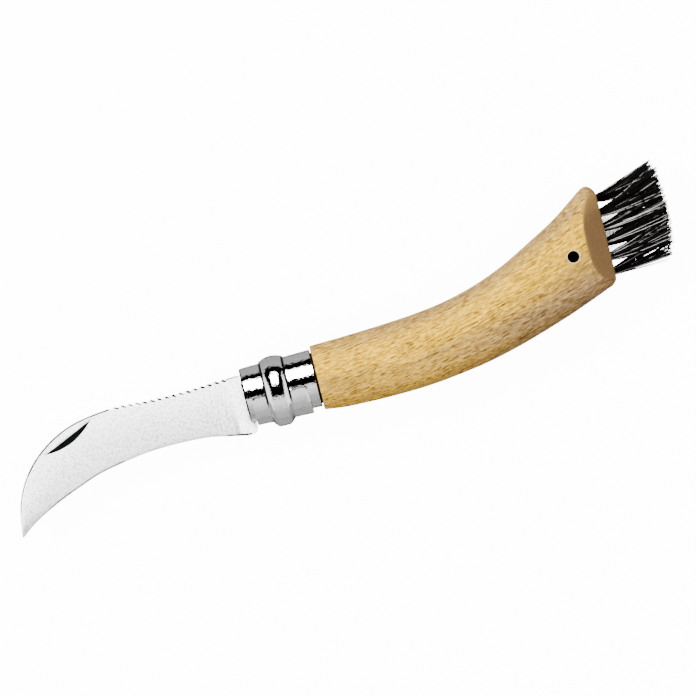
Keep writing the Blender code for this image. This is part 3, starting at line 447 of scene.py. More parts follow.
def wood_grid(x, inset, sides=128):
    """Superellipses across the wood. The flat bevels limit the thickness near the brush, and a rounded end
    draws each section in by its inset."""
    top, belly, thick, power = (v[:, None] for v in wood_profile(x))
    t = np.linspace(0, 2 * np.pi, sides, endpoint=False)[None, :]
    a = t - 0.7 * (power - 2) * np.sin(4 * t) / 4
    half = (top - belly) / 2 - inset[:, None]
    y = (top + belly) / 2 + half * np.sign(np.cos(a)) * np.abs(np.cos(a)) ** (2 / power)
    z = (thick - inset[:, None]) * np.abs(np.sin(a)) ** (2 / power)
    end_thickness = WOOD_RADIUS - 0.1
    bevel = end_thickness - BEVEL_DEPTH + (WOOD_END - x[:, None]) * BEVEL_DEPTH / BEVEL_LENGTH
    bevel = bevel - inset[:, None]
    z = np.sign(np.sin(a)) * np.maximum(lesser(z, bevel + 0 * z, 0.35), 0.0)
    return np.stack([np.repeat(x[:, None], sides, axis=1), y, z], axis=-1)


def spigot_ring(x, radius, sides=128):
    """A circle across the spigot."""
    t = np.linspace(0, 2 * np.pi, sides, endpoint=False)
    return np.stack([0 * t + x, radius * np.cos(t), radius * np.sin(t)], axis=-1)[None]


corner = np.radians([0, 22.5, 45, 67.5, 90])
front = WOOD_START + 0.45 * (1 - np.cos(corner))
back = WOOD_END - 0.3 * (1 - np.cos(corner[::-1]))
wood_x = np.concatenate([front, np.linspace(WOOD_START + 1, WOOD_END - 12, 76),
                         np.linspace(WOOD_END - 11.7, WOOD_END - 0.6, 38), back])
wood_inset = np.zeros_like(wood_x)
wood_inset[:5], wood_inset[-5:] = 0.45 * (1 - np.sin(corner)), 0.3 * (1 - np.sin(corner[::-1]))
spigot = [spigot_ring(x, collar_radius(x) - COLLAR_WALL - 0.3) for x in (0.3, WOOD_START)]
wood = capped_tube(np.concatenate([*spigot, wood_grid(wood_x, wood_inset)]))


def saw_slot():
    """The slot's outline: its roof clears the folded blade, and its end is the arc of the tip's swing."""
    c, s = math.cos(math.radians(FOLD_DEGREES)), math.sin(math.radians(FOLD_DEGREES))
    folded = (np.concatenate([spine, upper, lower]) - pivot) @ np.array([[c, s], [-s, c]]) + pivot
    floor = pivot[1] + TANG_RADIUS + SLOT_ROOM
    x = np.linspace(0.0, pivot[0] + tip_swing, 90)
    near = np.abs(folded[None, :, 0] - x[:, None]) <= 2 * SLOT_ROOM
    highest = np.where(near, folded[None, :, 1], -99.0).max(axis=1) + SLOT_ROOM
    roof = np.stack([x, np.where(x < COLLAR_LENGTH - 3, np.maximum(floor, highest), highest)], axis=1)
    roof = roof[np.hypot(*(roof - pivot).T) < tip_swing]
    high = math.degrees(math.asin(min(1.0, (folded[:, 1].max() + SLOT_ROOM - pivot[1]) / tip_swing)))
    low = math.degrees(math.asin((-2 * WOOD_RADIUS - pivot[1]) / tip_swing))
    end = arc(pivot, tip_swing, high, low, 16)
    return np.concatenate([[(-2, -2 * WOOD_RADIUS), (-2, roof[0, 1])], roof, end])


def tuft_places():
    """Y and Z of the middle of each tuft on the end face: a row of six between two rows of four."""
    top, belly, thick, _ = wood_profile(WOOD_END)
    low, high = float(belly) + 2.9, float(top) - 2.1
    pitch, row_pitch = (high - low) / 5, float(thick) - BEVEL_DEPTH - 2.35
    rows = ((0, 6), (1, 4), (-1, 4))
    return np.array([((low + high) / 2 + (k - (n - 1) / 2) * pitch, row * row_pitch) for row, n in rows
                     for k in range(n)])


# Flecks: thin spots at the middles of drawn-out cells, in patches, for the pores and rays of beech
flecks, flecks_in, flecks_out = effect(
    "ray_flecks",
    [("Vector", "Vector"), ("Cell", "Vector"), ("Amount", "Float"), ("Size", "Float")],
    [("Mask", "Float")],
)
cell = add(flecks, "VectorMath", {0: flecks_in.outputs["Vector"], 1: flecks_in.outputs["Cell"]},
           operation="DIVIDE").outputs[0]
seeds = add(flecks, "TexVoronoi", {"Vector": cell, "Scale": 1.0, "Randomness": 1.0})
chance = add(flecks, "SeparateColor", {0: seeds.outputs["Color"]})
size = sum_of(flecks, "MULTIPLY", flecks_in.outputs["Size"],
              sum_of(flecks, "MULTIPLY_ADD", chance.outputs[1], 0.7, 0.5))
body = ramp(flecks, seeds.outputs["Distance"], sum_of(flecks, "MULTIPLY", size, 0.6), size, 1.0, 0.0)
patches = add(flecks, "TexNoise", {"Vector": cell, "Scale": 0.22, "Detail": 1.0}).outputs["Fac"]
amount = sum_of(flecks, "MULTIPLY", flecks_in.outputs["Amount"], ramp(flecks, patches, 0.36, 0.62, 0.3, 1.7))
kept = sum_of(flecks, "LESS_THAN", chance.outputs[0], amount)
strength = sum_of(flecks, "MULTIPLY", kept, sum_of(flecks, "MULTIPLY_ADD", chance.outputs[2], 0.55, 0.45))
flecks.links.new(sum_of(flecks, "MULTIPLY", body, strength), flecks_out.inputs["Mask"])


def polynomial(tree, x, coefficients):
    """The value of a polynomial of a socket; its highest power comes first."""
    value = coefficients[0]
    for coefficient in coefficients[1:]:
        value = sum_of(tree, "MULTIPLY_ADD", x, value, coefficient)
    return value


# Beech shows fine pores and short dark ray flecks along its curved grain, and broad paler and darker bands
beech, tree, shader, mm = finish("beech", Specular_IOR_Level=0.02)
x, y, z = add(tree, "SeparateXYZ", {0: mm}).outputs
grain_y = sum_of(tree, "SUBTRACT", y, polynomial(tree, x, (0.001, 0.1, 0.0)))
grain = add(tree, "CombineXYZ", {0: x, 1: grain_y, 2: z}).outputs[0]
rays = placed(tree, flecks, {"Vector": grain, "Cell": (3.2, 0.36, 0.8), "Amount": 0.55, "Size": 0.48})
pores = placed(tree, flecks, {"Vector": grain, "Cell": (1.9, 0.3, 0.6), "Amount": 0.7, "Size": 0.46})
fibres = placed(tree, streaks, {"Vector": grain, "Stretch": (0.2, 2.2, 2.2), "Contrast": 3.0})
grit = placed(tree, streaks, {"Vector": grain, "Stretch": (0.6, 2.3, 2.3), "Contrast": 3.4})
bands = placed(tree, streaks, {"Vector": grain, "Stretch": (0.02, 0.26, 0.26), "Contrast": 2.2})

# Painted light: the wood is painted palest a little above its middle and, near the collar, below it too, and
# darker towards the top and the belly, as the lamps would light it; a little blue is added along the belly.
# The share of the way from the middle is -1 along the belly and 1 along the top.
along = np.linspace(WOOD_START, WOOD_END, 60)
top, belly, _, _ = wood_profile(along)
middle = polynomial(tree, x, np.polyfit(along, (top + belly) / 2, 3))
share = sum_of(tree, "DIVIDE", sum_of(tree, "SUBTRACT", y, middle),
               polynomial(tree, x, np.polyfit(along, (top - belly) / 2, 2)))
painted_lit = sum_of(tree, "MULTIPLY", ramp(tree, share, -0.45, 0.22), ramp(tree, share, 0.98, 0.35))
near_collar = ramp(tree, x, 95.0, 45.0, 0.1, 0.95)
painted_lit = sum_of(tree, "MULTIPLY_ADD", ramp(tree, share, 0.0, -0.75), near_collar, painted_lit)
painted_lit = sum_of(tree, "MULTIPLY_ADD", sum_of(tree, "SUBTRACT", bands, 0.5), 0.6, painted_lit, clamp=True)
light = mixed(tree, painted_lit, (0.31, 0.19, 0.062, 1.0), (0.67, 0.374, 0.014, 1.0))
blue = sum_of(tree, "MULTIPLY", ramp(tree, share, -0.2, -0.8), 0.032)
blue = add(tree, "CombineXYZ", {2: blue}).outputs[0]
light = add(tree, "VectorMath", {0: light, 1: blue}, operation="ADD").outputs[0]
for noise, low, high in ((fibres, (0.62, 0.58, 0.50, 1.0), (1.42, 1.46, 1.44, 1.0)),
                         (grit, (0.62, 0.60, 0.53, 1.0), (1.42, 1.44, 1.44, 1.0))):
    tint = mixed(tree, noise, low, high)
    light = add(tree, "VectorMath", {0: light, 1: tint}, operation="MULTIPLY").outputs[0]
light = mixed(tree, sum_of(tree, "MULTIPLY", pores, 0.85), light, (0.14, 0.065, 0.009, 1.0))
light = mixed(tree, rays, light, (0.035, 0.015, 0.003, 1.0))

# Painted light and shade: the flared rim of the lanyard hole is painted pale as a highlight, and the hole and
# the spigot are painted near-black inside as shade
end_top, end_belly = (float(v) for v in wood_profile(WOOD_END)[:2])
lanyard = np.array([WOOD_END - LANYARD_IN, end_belly + 0.36 * (end_top - end_belly)])
from_bore = add(tree, "CombineXYZ", {0: sum_of(tree, "SUBTRACT", x, lanyard[0]),
                                     1: sum_of(tree, "SUBTRACT", y, lanyard[1])}).outputs[0]
from_bore = add(tree, "VectorMath", {0: from_bore}, operation="LENGTH").outputs["Value"]
painted_dark_inside = sum_of(tree, "MAXIMUM", ramp(tree, x, WOOD_START + 0.3, WOOD_START + 0.2),
                ramp(tree, from_bore, FLARE_RADIUS - 0.07, FLARE_RADIUS - 0.17))
light = mixed(tree, ramp(tree, from_bore, 2.12, 1.98), light, (0.72, 0.52, 0.31, 1.0))
light = mixed(tree, painted_dark_inside, light, (0.012, 0.007, 0.004, 1.0))

# The oblique cuts and the end face at the brush end show darker end grain, paler towards the top; their dark
# colour is partly painted shade, where these faces turn from the lamps
slant = math.hypot(BEVEL_LENGTH, BEVEL_DEPTH)
outward = sum_of(tree, "SUBTRACT", sum_of(tree, "ABSOLUTE", z), WOOD_RADIUS - 0.1 - BEVEL_DEPTH)
backward = sum_of(tree, "MULTIPLY", sum_of(tree, "SUBTRACT", x, WOOD_END), BEVEL_DEPTH / slant)
beyond = sum_of(tree, "MULTIPLY_ADD", outward, BEVEL_LENGTH / slant, backward)
end_grain_and_shade = sum_of(tree, "MAXIMUM", ramp(tree, beyond, -0.2, -0.06),
                   ramp(tree, x, WOOD_END - 0.25, WOOD_END - 0.1))
sawn = placed(tree, streaks, {"Vector": mm, "Stretch": (2.2, 1.1, 2.2), "Contrast": 1.6})
dark = mixed(tree, sawn, (0.155, 0.09, 0.036, 1.0), (0.235, 0.136, 0.056, 1.0))
dark = mixed(tree, ramp(tree, share, 0.35, 0.9), dark, (0.36, 0.22, 0.07, 1.0))
height = sum_of(tree, "SUBTRACT", sum_of(tree, "MULTIPLY", fibres, 0.4), sum_of(tree, "ADD", rays, pores))
feed(tree, shader, Base_Color=mixed(tree, end_grain_and_shade, light, dark),
     Roughness=sum_of(tree, "MULTIPLY_ADD", fibres, 0.12, 0.46), Normal=bumps(tree, height, 0.35, 0.00006))

handle = solid("handle_wood", *wood, beech)
outline = saw_slot()
slot = np.stack([np.column_stack([outline, np.full(len(outline), z)]) for z in (-SLOT_HALF, SLOT_HALF)])
cut(handle, solid("saw", *capped_tube(slot)))
cut(handle, solid("pin_bore", *revolved([(-12, PIN_BORE), (12, PIN_BORE)], (*pivot, 0), "z")))
top, belly, thick, power = (float(v) for v in wood_profile(lanyard[0]))
face_z = thick * (1 - abs((lanyard[1] - (top + belly) / 2) / ((top - belly) / 2)) ** power) ** (1 / power)
flare = np.array([(face_z - 0.32, LANYARD_RADIUS), (face_z - 0.1, 1.74), (face_z + 0.02, FLARE_RADIUS),
                  (face_z + 2, FLARE_RADIUS)])
bore = np.concatenate([flare[::-1] * (-1, 1), flare])
cut(handle, solid("lanyard_bore", *revolved(bore, (*lanyard, 0), "z")))
drill = [(-TUFT_HOLE_DEPTH, TUFT_HOLE_RADIUS), (2, TUFT_HOLE_RADIUS)]
drills = [revolved(drill, (WOOD_END, *place), "x", TUFT_HOLE_SIDES) for place in tuft_places()]
drill_points = np.concatenate([points for points, _ in drills])
drill_faces = [[v + 2 * TUFT_HOLE_SIDES * k for v in face] for k in range(len(drills))
               for face in drills[k][1]]
cut(handle, solid("tuft_drills", drill_points, drill_faces))
smooth_sides(handle, 28)
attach(handle, "handle")
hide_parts("handle")

# Fixed collar
# A slightly tapered steel sleeve, rolled from sheet and polished, pressed over the handle's spigot. Its
# slit faces the cutting edge, and the pivot pin crosses it.
COLLAR_SLIT_HALF, COLLAR_LIP, COLLAR_SIDES = 1.7, 0.12, 200
polished_steel, tree, shader, mm = finish("polished_steel", Metallic=1.0)
lengthways = placed(tree, streaks, {"Vector": mm, "Stretch": (0.35, 3.5, 3.5), "Contrast": 0.5})
smears = placed(tree, streaks, {"Vector": mm, "Stretch": (0.5, 0.45, 0.4), "Contrast": 2.0})
tone = sum_of(tree, "MULTIPLY_ADD", smears, 0.05, sum_of(tree, "MULTIPLY_ADD", lengthways, 0.04, 0.6))

# Painted shade: the front rim and the two hollows along the ring's bead are darkened almost to black, fading
# out on the lower side
x, y, _ = add(tree, "SeparateXYZ", {0: mm}).outputs
from_bead = sum_of(tree, "ABSOLUTE", sum_of(tree, "SUBTRACT", x, float(pivot[0])))
hollow = sum_of(tree, "MULTIPLY", ramp(tree, from_bead, 3.12, 3.24), ramp(tree, from_bead, 3.95, 3.83))
hollow = sum_of(tree, "MULTIPLY", hollow, ramp(tree, y, -6.5, -3.5))
painted_hollow_shade = sum_of(tree, "MAXIMUM", hollow, ramp(tree, x, 0.5, 0.38))
tone = sum_of(tree, "MULTIPLY", tone, sum_of(tree, "MULTIPLY_ADD", painted_hollow_shade, -0.996, 1.0))
feed(tree, shader, Base_Color=warm_grey(tree, tone),
     Roughness=sum_of(tree, "MULTIPLY_ADD", smears, 0.05, 0.035),
     Normal=bumps(tree, sum_of(tree, "MULTIPLY_ADD", smears, 2.6, lengthways), 0.3, 0.0001))


def swept_ring(x, radius, angle):
    """Cross-sections, as distances along the collar's axis and radii, at angles round from its slit."""
    a = angle[:, None]
    return np.stack([x, -radius * np.cos(a), radius * np.sin(a)], axis=-1)


# Both ends have a rounded lip; the front slopes gently in behind it, and the rear in a short steep chamfer
quarter = np.radians(np.linspace(0, 90, 6))
lip_x, slope_x = COLLAR_LIP * (1 - np.cos(quarter)), np.linspace(0.18, 0.8, 12)
rolled_x = np.concatenate([lip_x, slope_x, np.linspace(1.0, COLLAR_LENGTH - 1.0, 24),
                           COLLAR_LENGTH - slope_x[::-1], COLLAR_LENGTH - lip_x[::-1], [COLLAR_LENGTH, 0.0]])
from_end = np.minimum(rolled_x, COLLAR_LENGTH - rolled_x)
rolled_in = np.where(rolled_x < 1, 0.33 * np.clip(0.62 - from_end, 0, 0.6),
                     0.8 * np.clip(0.27 - from_end, 0, 0.27))
rolled_in += COLLAR_LIP - np.sqrt(COLLAR_LIP**2 - np.clip(COLLAR_LIP - from_end, 0, COLLAR_LIP) ** 2)
rolled_in[-2:] = COLLAR_WALL
rolled_r = collar_radius(rolled_x) - rolled_in
slit = math.asin(COLLAR_SLIT_HALF / COLLAR_FRONT_RADIUS)
angle = np.linspace(slit, 2 * np.pi - slit, COLLAR_SIDES)
sleeve = swept_ring(np.tile(rolled_x, (COLLAR_SIDES, 1)), np.tile(rolled_r, (COLLAR_SIDES, 1)), angle)
collar = solid("collar_sleeve", *capped_tube(sleeve), polished_steel)
cut(collar, solid("pin_bore", *revolved([(-12, PIN_BORE), (12, PIN_BORE)], (*pivot, 0), "z")))
smooth_sides(collar, 35)
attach(collar, "handle")
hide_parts("fixed_collar")

# Pivot pin
# A plain round steel pin on which the blade turns, riveted through the collar, the wood and the tang. Its
# two ends lie hidden inside the ring's bead.
pin = frame["nodes"]["pivot_pin"]
pin.data.materials.clear()
pin.data.materials.append(polished_steel)

# Locking ring
# A slit ring of polished spring steel that turns on the collar. Its middle is pressed into a hollow bead,
# and the lobes on both sides of its gap reach along the collar, so that a turn puts one behind the blade's
# heel.
RING_SLIP, RING_WALL = 0.2, 0.7
RING_ROUND = 0.25
RING_SPRING = 0.8
RING_GAP_HALF = 2.3
BEAD_HALF, BEAD_FOOT, BEAD_RISE = 3.5, 0.26, 1.876
LOBE_FRONT, LOBE_REAR = 1.8, 19.2
LOBE_TOP = math.radians(82)
LOBE_CORNER = 1.3
LOBE_RADIUS = 8.95
# Height of the bead's outline at shares of the way from its middle to its foot, on top and towards the gap
BEAD_SHARES = ((0.000, 1.000), (0.186, 0.965), (0.371, 0.861), (0.529, 0.713), (0.686, 0.507),
               (0.743, 0.411), (0.800, 0.294), (0.843, 0.204), (0.886, 0.123), (0.914, 0.076),
               (0.943, 0.036), (0.971, 0.009), (1.000, 0.000))
BEAD_GAP_SHARES = ((0.00, 1.000), (0.25, 0.990), (0.45, 0.955), (0.55, 0.895), (0.65, 0.760),
                   (0.75, 0.560), (0.85, 0.330), (0.93, 0.130), (1.00, 0.000))


def bead_rise(x, to_gap):
    """The bead across the ring: a round crown with hollow feet, fuller and steeper towards the gap."""
    out = np.minimum(np.abs(x - pivot[0]) / BEAD_HALF, 1)
    rise = hermite(*zip(*BEAD_SHARES), out) * (1 - to_gap) + hermite(*zip(*BEAD_GAP_SHARES), out) * to_gap
    return np.clip(rise, 0, 1)


def ring_sections(angle, lobed):
    """Closed cross-sections of the ring at angles from its gap. The outer radius is the collar's, the slip
    and the wall together, and the bead stands on it. Towards the gap the sprung ring stands further off the
    collar, and every free edge is rounded."""
    from_top = (LOBE_TOP - angle) * LOBE_RADIUS
    back = LOBE_CORNER - np.sqrt(np.maximum(0, LOBE_CORNER**2 - np.maximum(0, LOBE_CORNER - from_top) ** 2))
    front = np.where(lobed, LOBE_FRONT + back, pivot[0] - BEAD_HALF - 0.25)[:, None]
    rear = np.where(lobed, LOBE_REAR - back, pivot[0] + BEAD_HALF + 0.25)[:, None]
    edge_in = RING_ROUND * (1 - np.sin(quarter[::-1]))[None]
    bead = np.linspace(pivot[0] - BEAD_HALF, pivot[0] + BEAD_HALF, 57)[None]
    flat = np.linspace(0, 1, 7)[None, 1:]
    left = front + edge_in[:, -1:] + RING_ROUND + flat * (bead[:, :1] - front - RING_ROUND - 0.02)
    left = np.minimum(left, bead[:, :1] - 0.01)
    x_out = np.concatenate([front + edge_in, left, bead + 0 * front], axis=1)
    right = rear - RING_ROUND - (1 - flat) * (rear - RING_ROUND - bead[:, -1:] - 0.02)
    right = np.maximum(right, bead[:, -1:] + 0.01)
    x_out = np.concatenate([x_out, right, (rear - edge_in)[:, ::-1]], axis=1)
    sprung = (RING_SPRING * np.maximum(0, np.cos(angle)) ** 2)[:, None]
    seat = collar_radius(x_out) + RING_SLIP + sprung
    lift = np.where(np.cos(angle) > 0, 0.95, 0.5) * np.cos(angle)
    crown = (collar_radius(pivot[0]) + BEAD_RISE + lift)[:, None] + sprung
    rise = bead_rise(x_out, smooth_step(1.3 * np.cos(angle))[:, None])
    past_band = np.abs(x_out - pivot[0]) > BEAD_HALF + BEAD_FOOT
    wall = RING_WALL - np.where(past_band, 0, 0.35 * smooth_step((angle - 0.9) / 0.8)[:, None])
    along = np.minimum(x_out - front, rear - x_out)
    to_edge = np.where(past_band & lobed[:, None], np.minimum(along, from_top[:, None]), along)
    t = np.clip(RING_ROUND - to_edge, 0, RING_ROUND)
    inset = RING_ROUND - np.sqrt(np.maximum(0, RING_ROUND**2 - t**2))
    outer = seat + wall - inset + rise * np.maximum(0, crown - seat - wall)
    inner = seat + np.clip(1.25 * rise - 0.25, 0, 1) * np.maximum(0, crown - RING_WALL - seat)
    return np.concatenate([x_out, x_out[:, ::-1]], axis=1), np.concatenate([outer, inner[:, ::-1]], axis=1)


gap = math.asin(RING_GAP_HALF / collar_radius(10.0))
below_top = np.concatenate([np.linspace(LOBE_CORNER, 0.3, 8), RING_ROUND * (1 - np.sin(quarter))])
near_top = LOBE_TOP - below_top / LOBE_RADIUS
lobe = np.concatenate([np.linspace(gap, near_top[0], 40)[:-1], near_top])
band = np.linspace(LOBE_TOP + 0.003, 2 * np.pi - LOBE_TOP - 0.003, 110)
turn = np.concatenate([lobe, band, 2 * np.pi - lobe[::-1]])
lobed = np.repeat([True, False, True], [len(lobe), len(band), len(lobe)])
ring_x, ring_r = ring_sections(np.minimum(turn, 2 * np.pi - turn), lobed)
ring = solid("ring_steel", *capped_tube(swept_ring(ring_x, ring_r, turn)), polished_steel, painted_shade_steel)

# The edges of the band, the lobes' ends and both lips of the gap are sheared edges, painted near-black:
# painted shade lines along the ring's edges and beside its gap
face, row = np.arange(ring_x.shape[1]), np.arange(len(turn) - 1)[:, None]
out, first, last = ring_x.shape[1] // 2, len(lobe), len(turn) - len(lobe)
rim = (face < 5) | (face > out - 7) & (face < out) | (face == 2 * out - 1)
painted_shade_edges = rim[None, :] & ~lobed[:-1, None] & ~lobed[1:, None]
lobe_ends = (row > first - 8) & (row < first) | (row > last - 2) & (row < last + 6)
painted_shade_edges |= lobe_ends & (np.abs(ring_x[:-1] - pivot[0]) > BEAD_HALF + BEAD_FOOT)
painted_shade_edges |= (row < 3) | (row > len(turn) - 5)
ring.data.polygons.foreach_set("material_index", np.append(painted_shade_edges.ravel(), [True, True]).astype(np.int32))
smooth_sides(ring, 35)
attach(ring, "locking_ring")
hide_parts("locking_ring")

# Bristle tufts
# Fourteen tufts of stiff black bristle, doubled over and driven into their holes with flat wire anchors.
# They spread from the holes, lean towards the top, and end in an uneven, slightly crowned brush. A few
# bristles on the upper side of each tuft are white: painted highlights standing in for glints.
BRISTLES, BRISTLES_MORE_AT_ENDS = 110, 60
BRISTLE_LENGTH, BRISTLE_CROWN, BRISTLE_UNEVEN = 20.75, 2.4, 2.2
BRISTLE_SIDES, BRISTLE_RINGS = 3, 9
TUFT_RADIUS = 1.12
TUFT_SUNK = 0.4
LEAN, LEAN_FAN, SIDE_FAN = 12.5, 3.6, 6.0
GLINT_WHITE_FROM = 0.83
BRUSH_TOP_SLOPE = 0.33
black_bristle, tree, shader, mm = finish("black_bristle", Specular_IOR_Level=0.03)
own = add(tree, "Attribute", attribute_name="bristle").outputs["Fac"]
mottle = placed(tree, streaks, {"Vector": mm, "Stretch": (0.6, 2.5, 2.5), "Contrast": 2.0})
shade = mixed(tree, sum_of(tree, "POWER", own, 3.0), (0.002, 0.002, 0.002, 1.0), (0.020, 0.015, 0.012, 1.0))
# The few white bristles are painted highlights standing in for glints
shade = mixed(tree, ramp(tree, own, GLINT_WHITE_FROM, GLINT_WHITE_FROM + 0.01), shade, (0.85, 0.83, 0.80, 1.0))
shade = mixed(tree, sum_of(tree, "MULTIPLY", mottle, 0.35), shade, (0.006, 0.005, 0.005, 1.0))
feed(tree, shader, Base_Color=shade, Roughness=sum_of(tree, "MULTIPLY_ADD", mottle, 0.16, 0.24))

places = tuft_places()
brush_middle = float((places[0, 0] + places[5, 0]) / 2)
brush_pitch = float(places[1, 0] - places[0, 0])
row_pitch = float(places[6, 1])


def bristle_paths(y, z, seed, count):
    """Middle lines of a tuft's bristles: from a sunflower spiral in the hole they spread as a power of their
    length, lean, stray and curl, each in its own way, under one straight upper side of the brush."""
    chance = np.random.default_rng(seed)
    k = np.arange(count)
    golden = np.pi * (3 - math.sqrt(5))
    r = TUFT_RADIUS * np.sqrt((k + 0.5) / count)
    u, v = r * np.cos(golden * k), r * np.sin(golden * k)
    outward = (y - brush_middle) / (brush_pitch * 3)
    lean = math.tan(math.radians(LEAN + LEAN_FAN * outward))
    side = math.tan(math.radians(SIDE_FAN * z / row_pitch))
    length = BRISTLE_LENGTH - BRISTLE_CROWN * outward**2 - BRISTLE_UNEVEN * chance.random(count) ** 2
    share = np.concatenate([[-0.12], np.linspace(0, 1, BRISTLE_RINGS - 1)])[None, :]
    out = np.maximum(share, 0)
    along = length[:, None] * share
    spread = 1 + 1.2 * out**1.3
    outer = np.sign(u) * outward
    fan = 2.9 - 1.8 * smooth_step((outer - 0.5) / 0.4) + 1.4 * smooth_step((-outer - 0.5) / 0.4)
    fan = 1 + fan[:, None] * out**0.95
    stray = chance.normal(0, 0.05, (count, 2))
    bend = chance.uniform(-0.5, 0.5, (count, 2))
    wave = chance.uniform(0, 6.28, (count, 2))
    ahead = np.maximum(along, 0)
    cy = y + u[:, None] * fan + ahead * out**0.3 * lean + ahead * out**0.6 * stray[:, :1]
    cz = z + v[:, None] * spread + ahead * out**0.3 * side + ahead * out**0.6 * stray[:, 1:]
    cy = cy + bend[:, :1] * out**2 + 0.09 * out * np.sin(5 * out + wave[:, :1])
    cz = cz + bend[:, 1:] * out**2 + 0.09 * out * np.sin(5 * out + wave[:, 1:])
    cy = np.minimum(cy, places[5, 0] + 1.2 + ahead * out**0.1 * BRUSH_TOP_SLOPE)
    # Only bristles on the upper side of a tuft can be painted white, as glints
    own = chance.random(count) * np.where(v + 0.4 * np.abs(u) > 0.3, 1, GLINT_WHITE_FROM)
    return np.stack([WOOD_END - TUFT_SUNK + along, cy, cz], axis=-1), own


# One bristle is a thin tapered prism, and a plug in the hole holds the doubled ends together
around = np.radians([90, 210, 330])
corners = np.stack([0 * around, np.cos(around), np.sin(around)], axis=-1)
per_bristle = BRISTLE_SIDES * BRISTLE_RINGS
bristle_ends = [list(range(BRISTLE_SIDES)), list(range(per_bristle - BRISTLE_SIDES, per_bristle))]
bristle_faces = tube_faces(BRISTLE_RINGS, BRISTLE_SIDES).tolist() + bristle_ends
plug_profile = [(-4.6, 1.2), (-4.5, 1.27), (-2.0, 1.27), (-1.7, 1.1)]
for number, (y, z) in enumerate(places, start=1):
    count = BRISTLES + (BRISTLES_MORE_AT_ENDS if number in (1, 6) else 0)
    paths, shades = bristle_paths(y, z, number, count)
    thickness = np.where(shades > GLINT_WHITE_FROM, 0.95, 1.15)[:, None, None]
    radius = np.linspace(0.1, 0.075, BRISTLE_RINGS)[None, :, None] * thickness
    hairs = (paths[:, :, None, :] + radius[..., None] * corners).reshape(-1, 3)
    faces = [[v + per_bristle * k for v in face] for k in range(count) for face in bristle_faces]
    plug_points, plug_faces = revolved(plug_profile, (WOOD_END, y, z), "x", 20)
    faces += [[v + len(hairs) for v in face] for face in plug_faces]
    tuft = solid(f"tuft_{number:02d}", np.concatenate([hairs, plug_points]), faces, black_bristle)
    tone = np.concatenate([np.repeat(shades, per_bristle), np.zeros(len(plug_points))])
    tuft.data.attributes.new("bristle", "FLOAT", "POINT").data.foreach_set("value", tone.astype(np.float32))
    smooth_sides(tuft, 80)
    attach(tuft, "handle")
    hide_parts(f"bristle_tuft_{number:02d}")

# Tuft anchors
# Short pieces of flat tinned wire, one across each hole. Each is driven in with its tuft, so that its ends
# bite into the wood and hold the doubled bristles down.
anchor_wire, tree, shader, mm = finish("anchor_wire", Metallic=1.0)
drawn_wire = placed(tree, streaks, {"Vector": mm, "Stretch": (4.0, 0.8, 0.8), "Contrast": 2.0})
feed(tree, shader, Base_Color=mixed(tree, drawn_wire, (0.48, 0.46, 0.41, 1.0), (0.62, 0.60, 0.55, 1.0)),
     Roughness=sum_of(tree, "MULTIPLY_ADD", drawn_wire, 0.2, 0.28))
for number in range(1, len(places) + 1):
    anchor = frame["nodes"][f"tuft_anchor_{number:02d}"]
    anchor.data.materials.clear()
    anchor.data.materials.append(anchor_wire)

# Table, light and camera
# The knife lies on a white table in a light tent. One broad lamp box stands over the spine side, dark
# frames around it give the polished steel its black lines, and a softer lamp comes from the blade's side.
BACKDROP = 14.0
table_white, tree, shader, mm = finish("table_white", Roughness=0.9, Specular_IOR_Level=0.1)
shader.inputs["Emission Color"].default_value = (1.0, 1.0, 1.0, 1.0)
# To the camera the table glows as white as the tent, except in the narrow gap under the knife, where ambient
# occlusion cuts the glow away as a painted shadow
rays_of = add(tree, "LightPath").outputs
open_air = add(tree, "AmbientOcclusion", {"Distance": 0.016}, samples=32).outputs["AO"]
glow = sum_of(tree, "MULTIPLY", ramp(tree, open_air, 0.15, 0.21), BACKDROP)
# Painted contact shadow: ambient occlusion darkens the table's colour close to the knife, and the table is
# painted darker still in reflections
painted_shadow_white = sum_of(tree, "MULTIPLY", ramp(tree, open_air, 0.45, 1.0),
               sum_of(tree, "MULTIPLY_ADD", rays_of["Is Glossy Ray"], -0.3, 1.0))
feed(tree, shader, Base_Color=mixed(tree, painted_shadow_white, (0.0, 0.0, 0.0, 1.0), (0.3, 0.3, 0.3, 1.0)),
     Emission_Strength=sum_of(tree, "MULTIPLY", rays_of["Is Camera Ray"], glow))
table_mesh = bpy.data.meshes.new("table")
table_mesh.from_pydata([(-3, -3, 0), (3, -3, 0), (3, 3, 0), (-3, 3, 0)], [], [(0, 1, 2, 3)])
table_mesh.materials.append(table_white)
table = bpy.data.objects.new("table", table_mesh)
bpy.context.scene.collection.objects.link(table)

# Levels of the lamp box and the tent's wall, and of the lamp's rim and core as the steel shows them
LAMP, TENT, LAMP_RIM, LAMP_CORE = 3.8, 0.98, 20.0, 118.0
tent = bpy.data.worlds.new("light_tent")
tent.use_nodes = True
tree = tent.node_tree
towards = add(tree, "SeparateXYZ", {0: add(tree, "TexCoord").outputs["Generated"]})
tilt = sum_of(tree, "DEGREES", sum_of(tree, "ARCTAN2", towards.outputs[1], towards.outputs[2]))
aside = sum_of(tree, "ABSOLUTE", sum_of(tree, "DEGREES", sum_of(tree, "ARCSINE", towards.outputs[0])))
lamp = sum_of(tree, "MULTIPLY", ramp(tree, tilt, 19.0, 21.0), ramp(tree, tilt, 57.0, 55.0))
lamp = sum_of(tree, "MULTIPLY", lamp, ramp(tree, aside, 22.0, 20.0))
core = sum_of(tree, "MULTIPLY", ramp(tree, tilt, 21.0, 26.0), ramp(tree, tilt, 55.0, 49.0))
core = sum_of(tree, "MULTIPLY", core, ramp(tree, aside, 20.0, 14.0, LAMP_RIM, LAMP_CORE))
dark = sum_of(tree, "MULTIPLY", ramp(tree, tilt, -17.0, -15.0), ramp(tree, tilt, 104.0, 102.0))
dark = sum_of(tree, "MULTIPLY", dark, ramp(tree, aside, 53.0, 51.0))
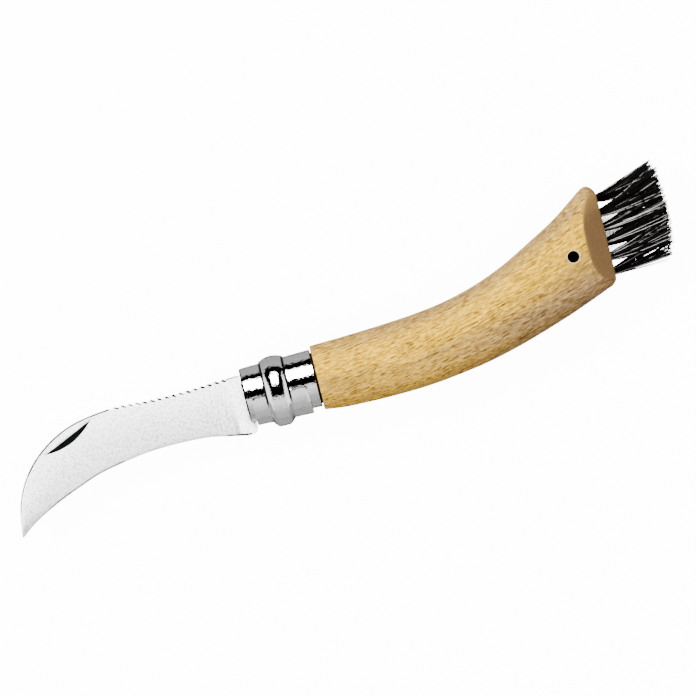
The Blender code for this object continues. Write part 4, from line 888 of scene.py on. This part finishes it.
# In the steel the tent is brighter at its ends and beside the frame, and darker low down
wall = sum_of(tree, "MINIMUM", ramp(tree, tilt, -75.0, -15.0, 0.9, 2.5),
              ramp(tree, tilt, 60.0, 85.0, 2.5, 0.95))
wall = sum_of(tree, "MAXIMUM", wall, ramp(tree, aside, 50.0, 54.0, 0.0, 3.2))
rays_of = add(tree, "LightPath").outputs
wall = sum_of(tree, "MULTIPLY_ADD", rays_of["Is Glossy Ray"], sum_of(tree, "SUBTRACT", wall, TENT), TENT)
more = sum_of(tree, "SUBTRACT", sum_of(tree, "MAXIMUM", core, LAMP_RIM), LAMP)
lamp_level = sum_of(tree, "MULTIPLY_ADD", rays_of["Is Glossy Ray"], more, LAMP)
level = sum_of(tree, "MULTIPLY", wall, sum_of(tree, "SUBTRACT", 1.0, dark))
level = sum_of(tree, "MULTIPLY_ADD", lamp, lamp_level, level)
level = sum_of(tree, "MULTIPLY_ADD", rays_of["Is Camera Ray"],
               sum_of(tree, "SUBTRACT", BACKDROP, level), level)
tree.links.new(level, tree.nodes["Background"].inputs["Strength"])
tree.nodes["Background"].inputs["Color"].default_value = (1.0, 1.0, 1.0, 1.0)
bpy.context.scene.world = tent

middle = rim_middle + np.array([33.8, 6.5, 0]) * MM
lamp_data = bpy.data.lights.new("side_lamp", "AREA")
lamp_data.shape, lamp_data.size, lamp_data.energy = "DISK", 0.5, 34.0
side_lamp = bpy.data.objects.new("side_lamp", lamp_data)
side_lamp.location = Vector(middle) + Vector((-0.62, 0.42, 0.66))
side_lamp.rotation_euler = (Vector(middle) - side_lamp.location).to_track_quat("-Z", "Y").to_euler()
side_lamp.visible_glossy = False
bpy.context.scene.collection.objects.link(side_lamp)

LENS, SEEN_WIDTH = 180.0, 210.9
camera_data = bpy.data.cameras.new("camera")
camera_data.lens, camera_data.sensor_width = LENS, 36.0
camera = bpy.data.objects.new("camera", camera_data)
camera.location = Vector(middle) + Vector((0, 0, SEEN_WIDTH * LENS / 36.0 * MM))
camera.rotation_euler = (0, 0, -math.asin(0.2411))
camera_data.clip_start, camera_data.clip_end = 0.01, 50.0
bpy.context.scene.collection.objects.link(camera)
bpy.context.scene.camera = camera
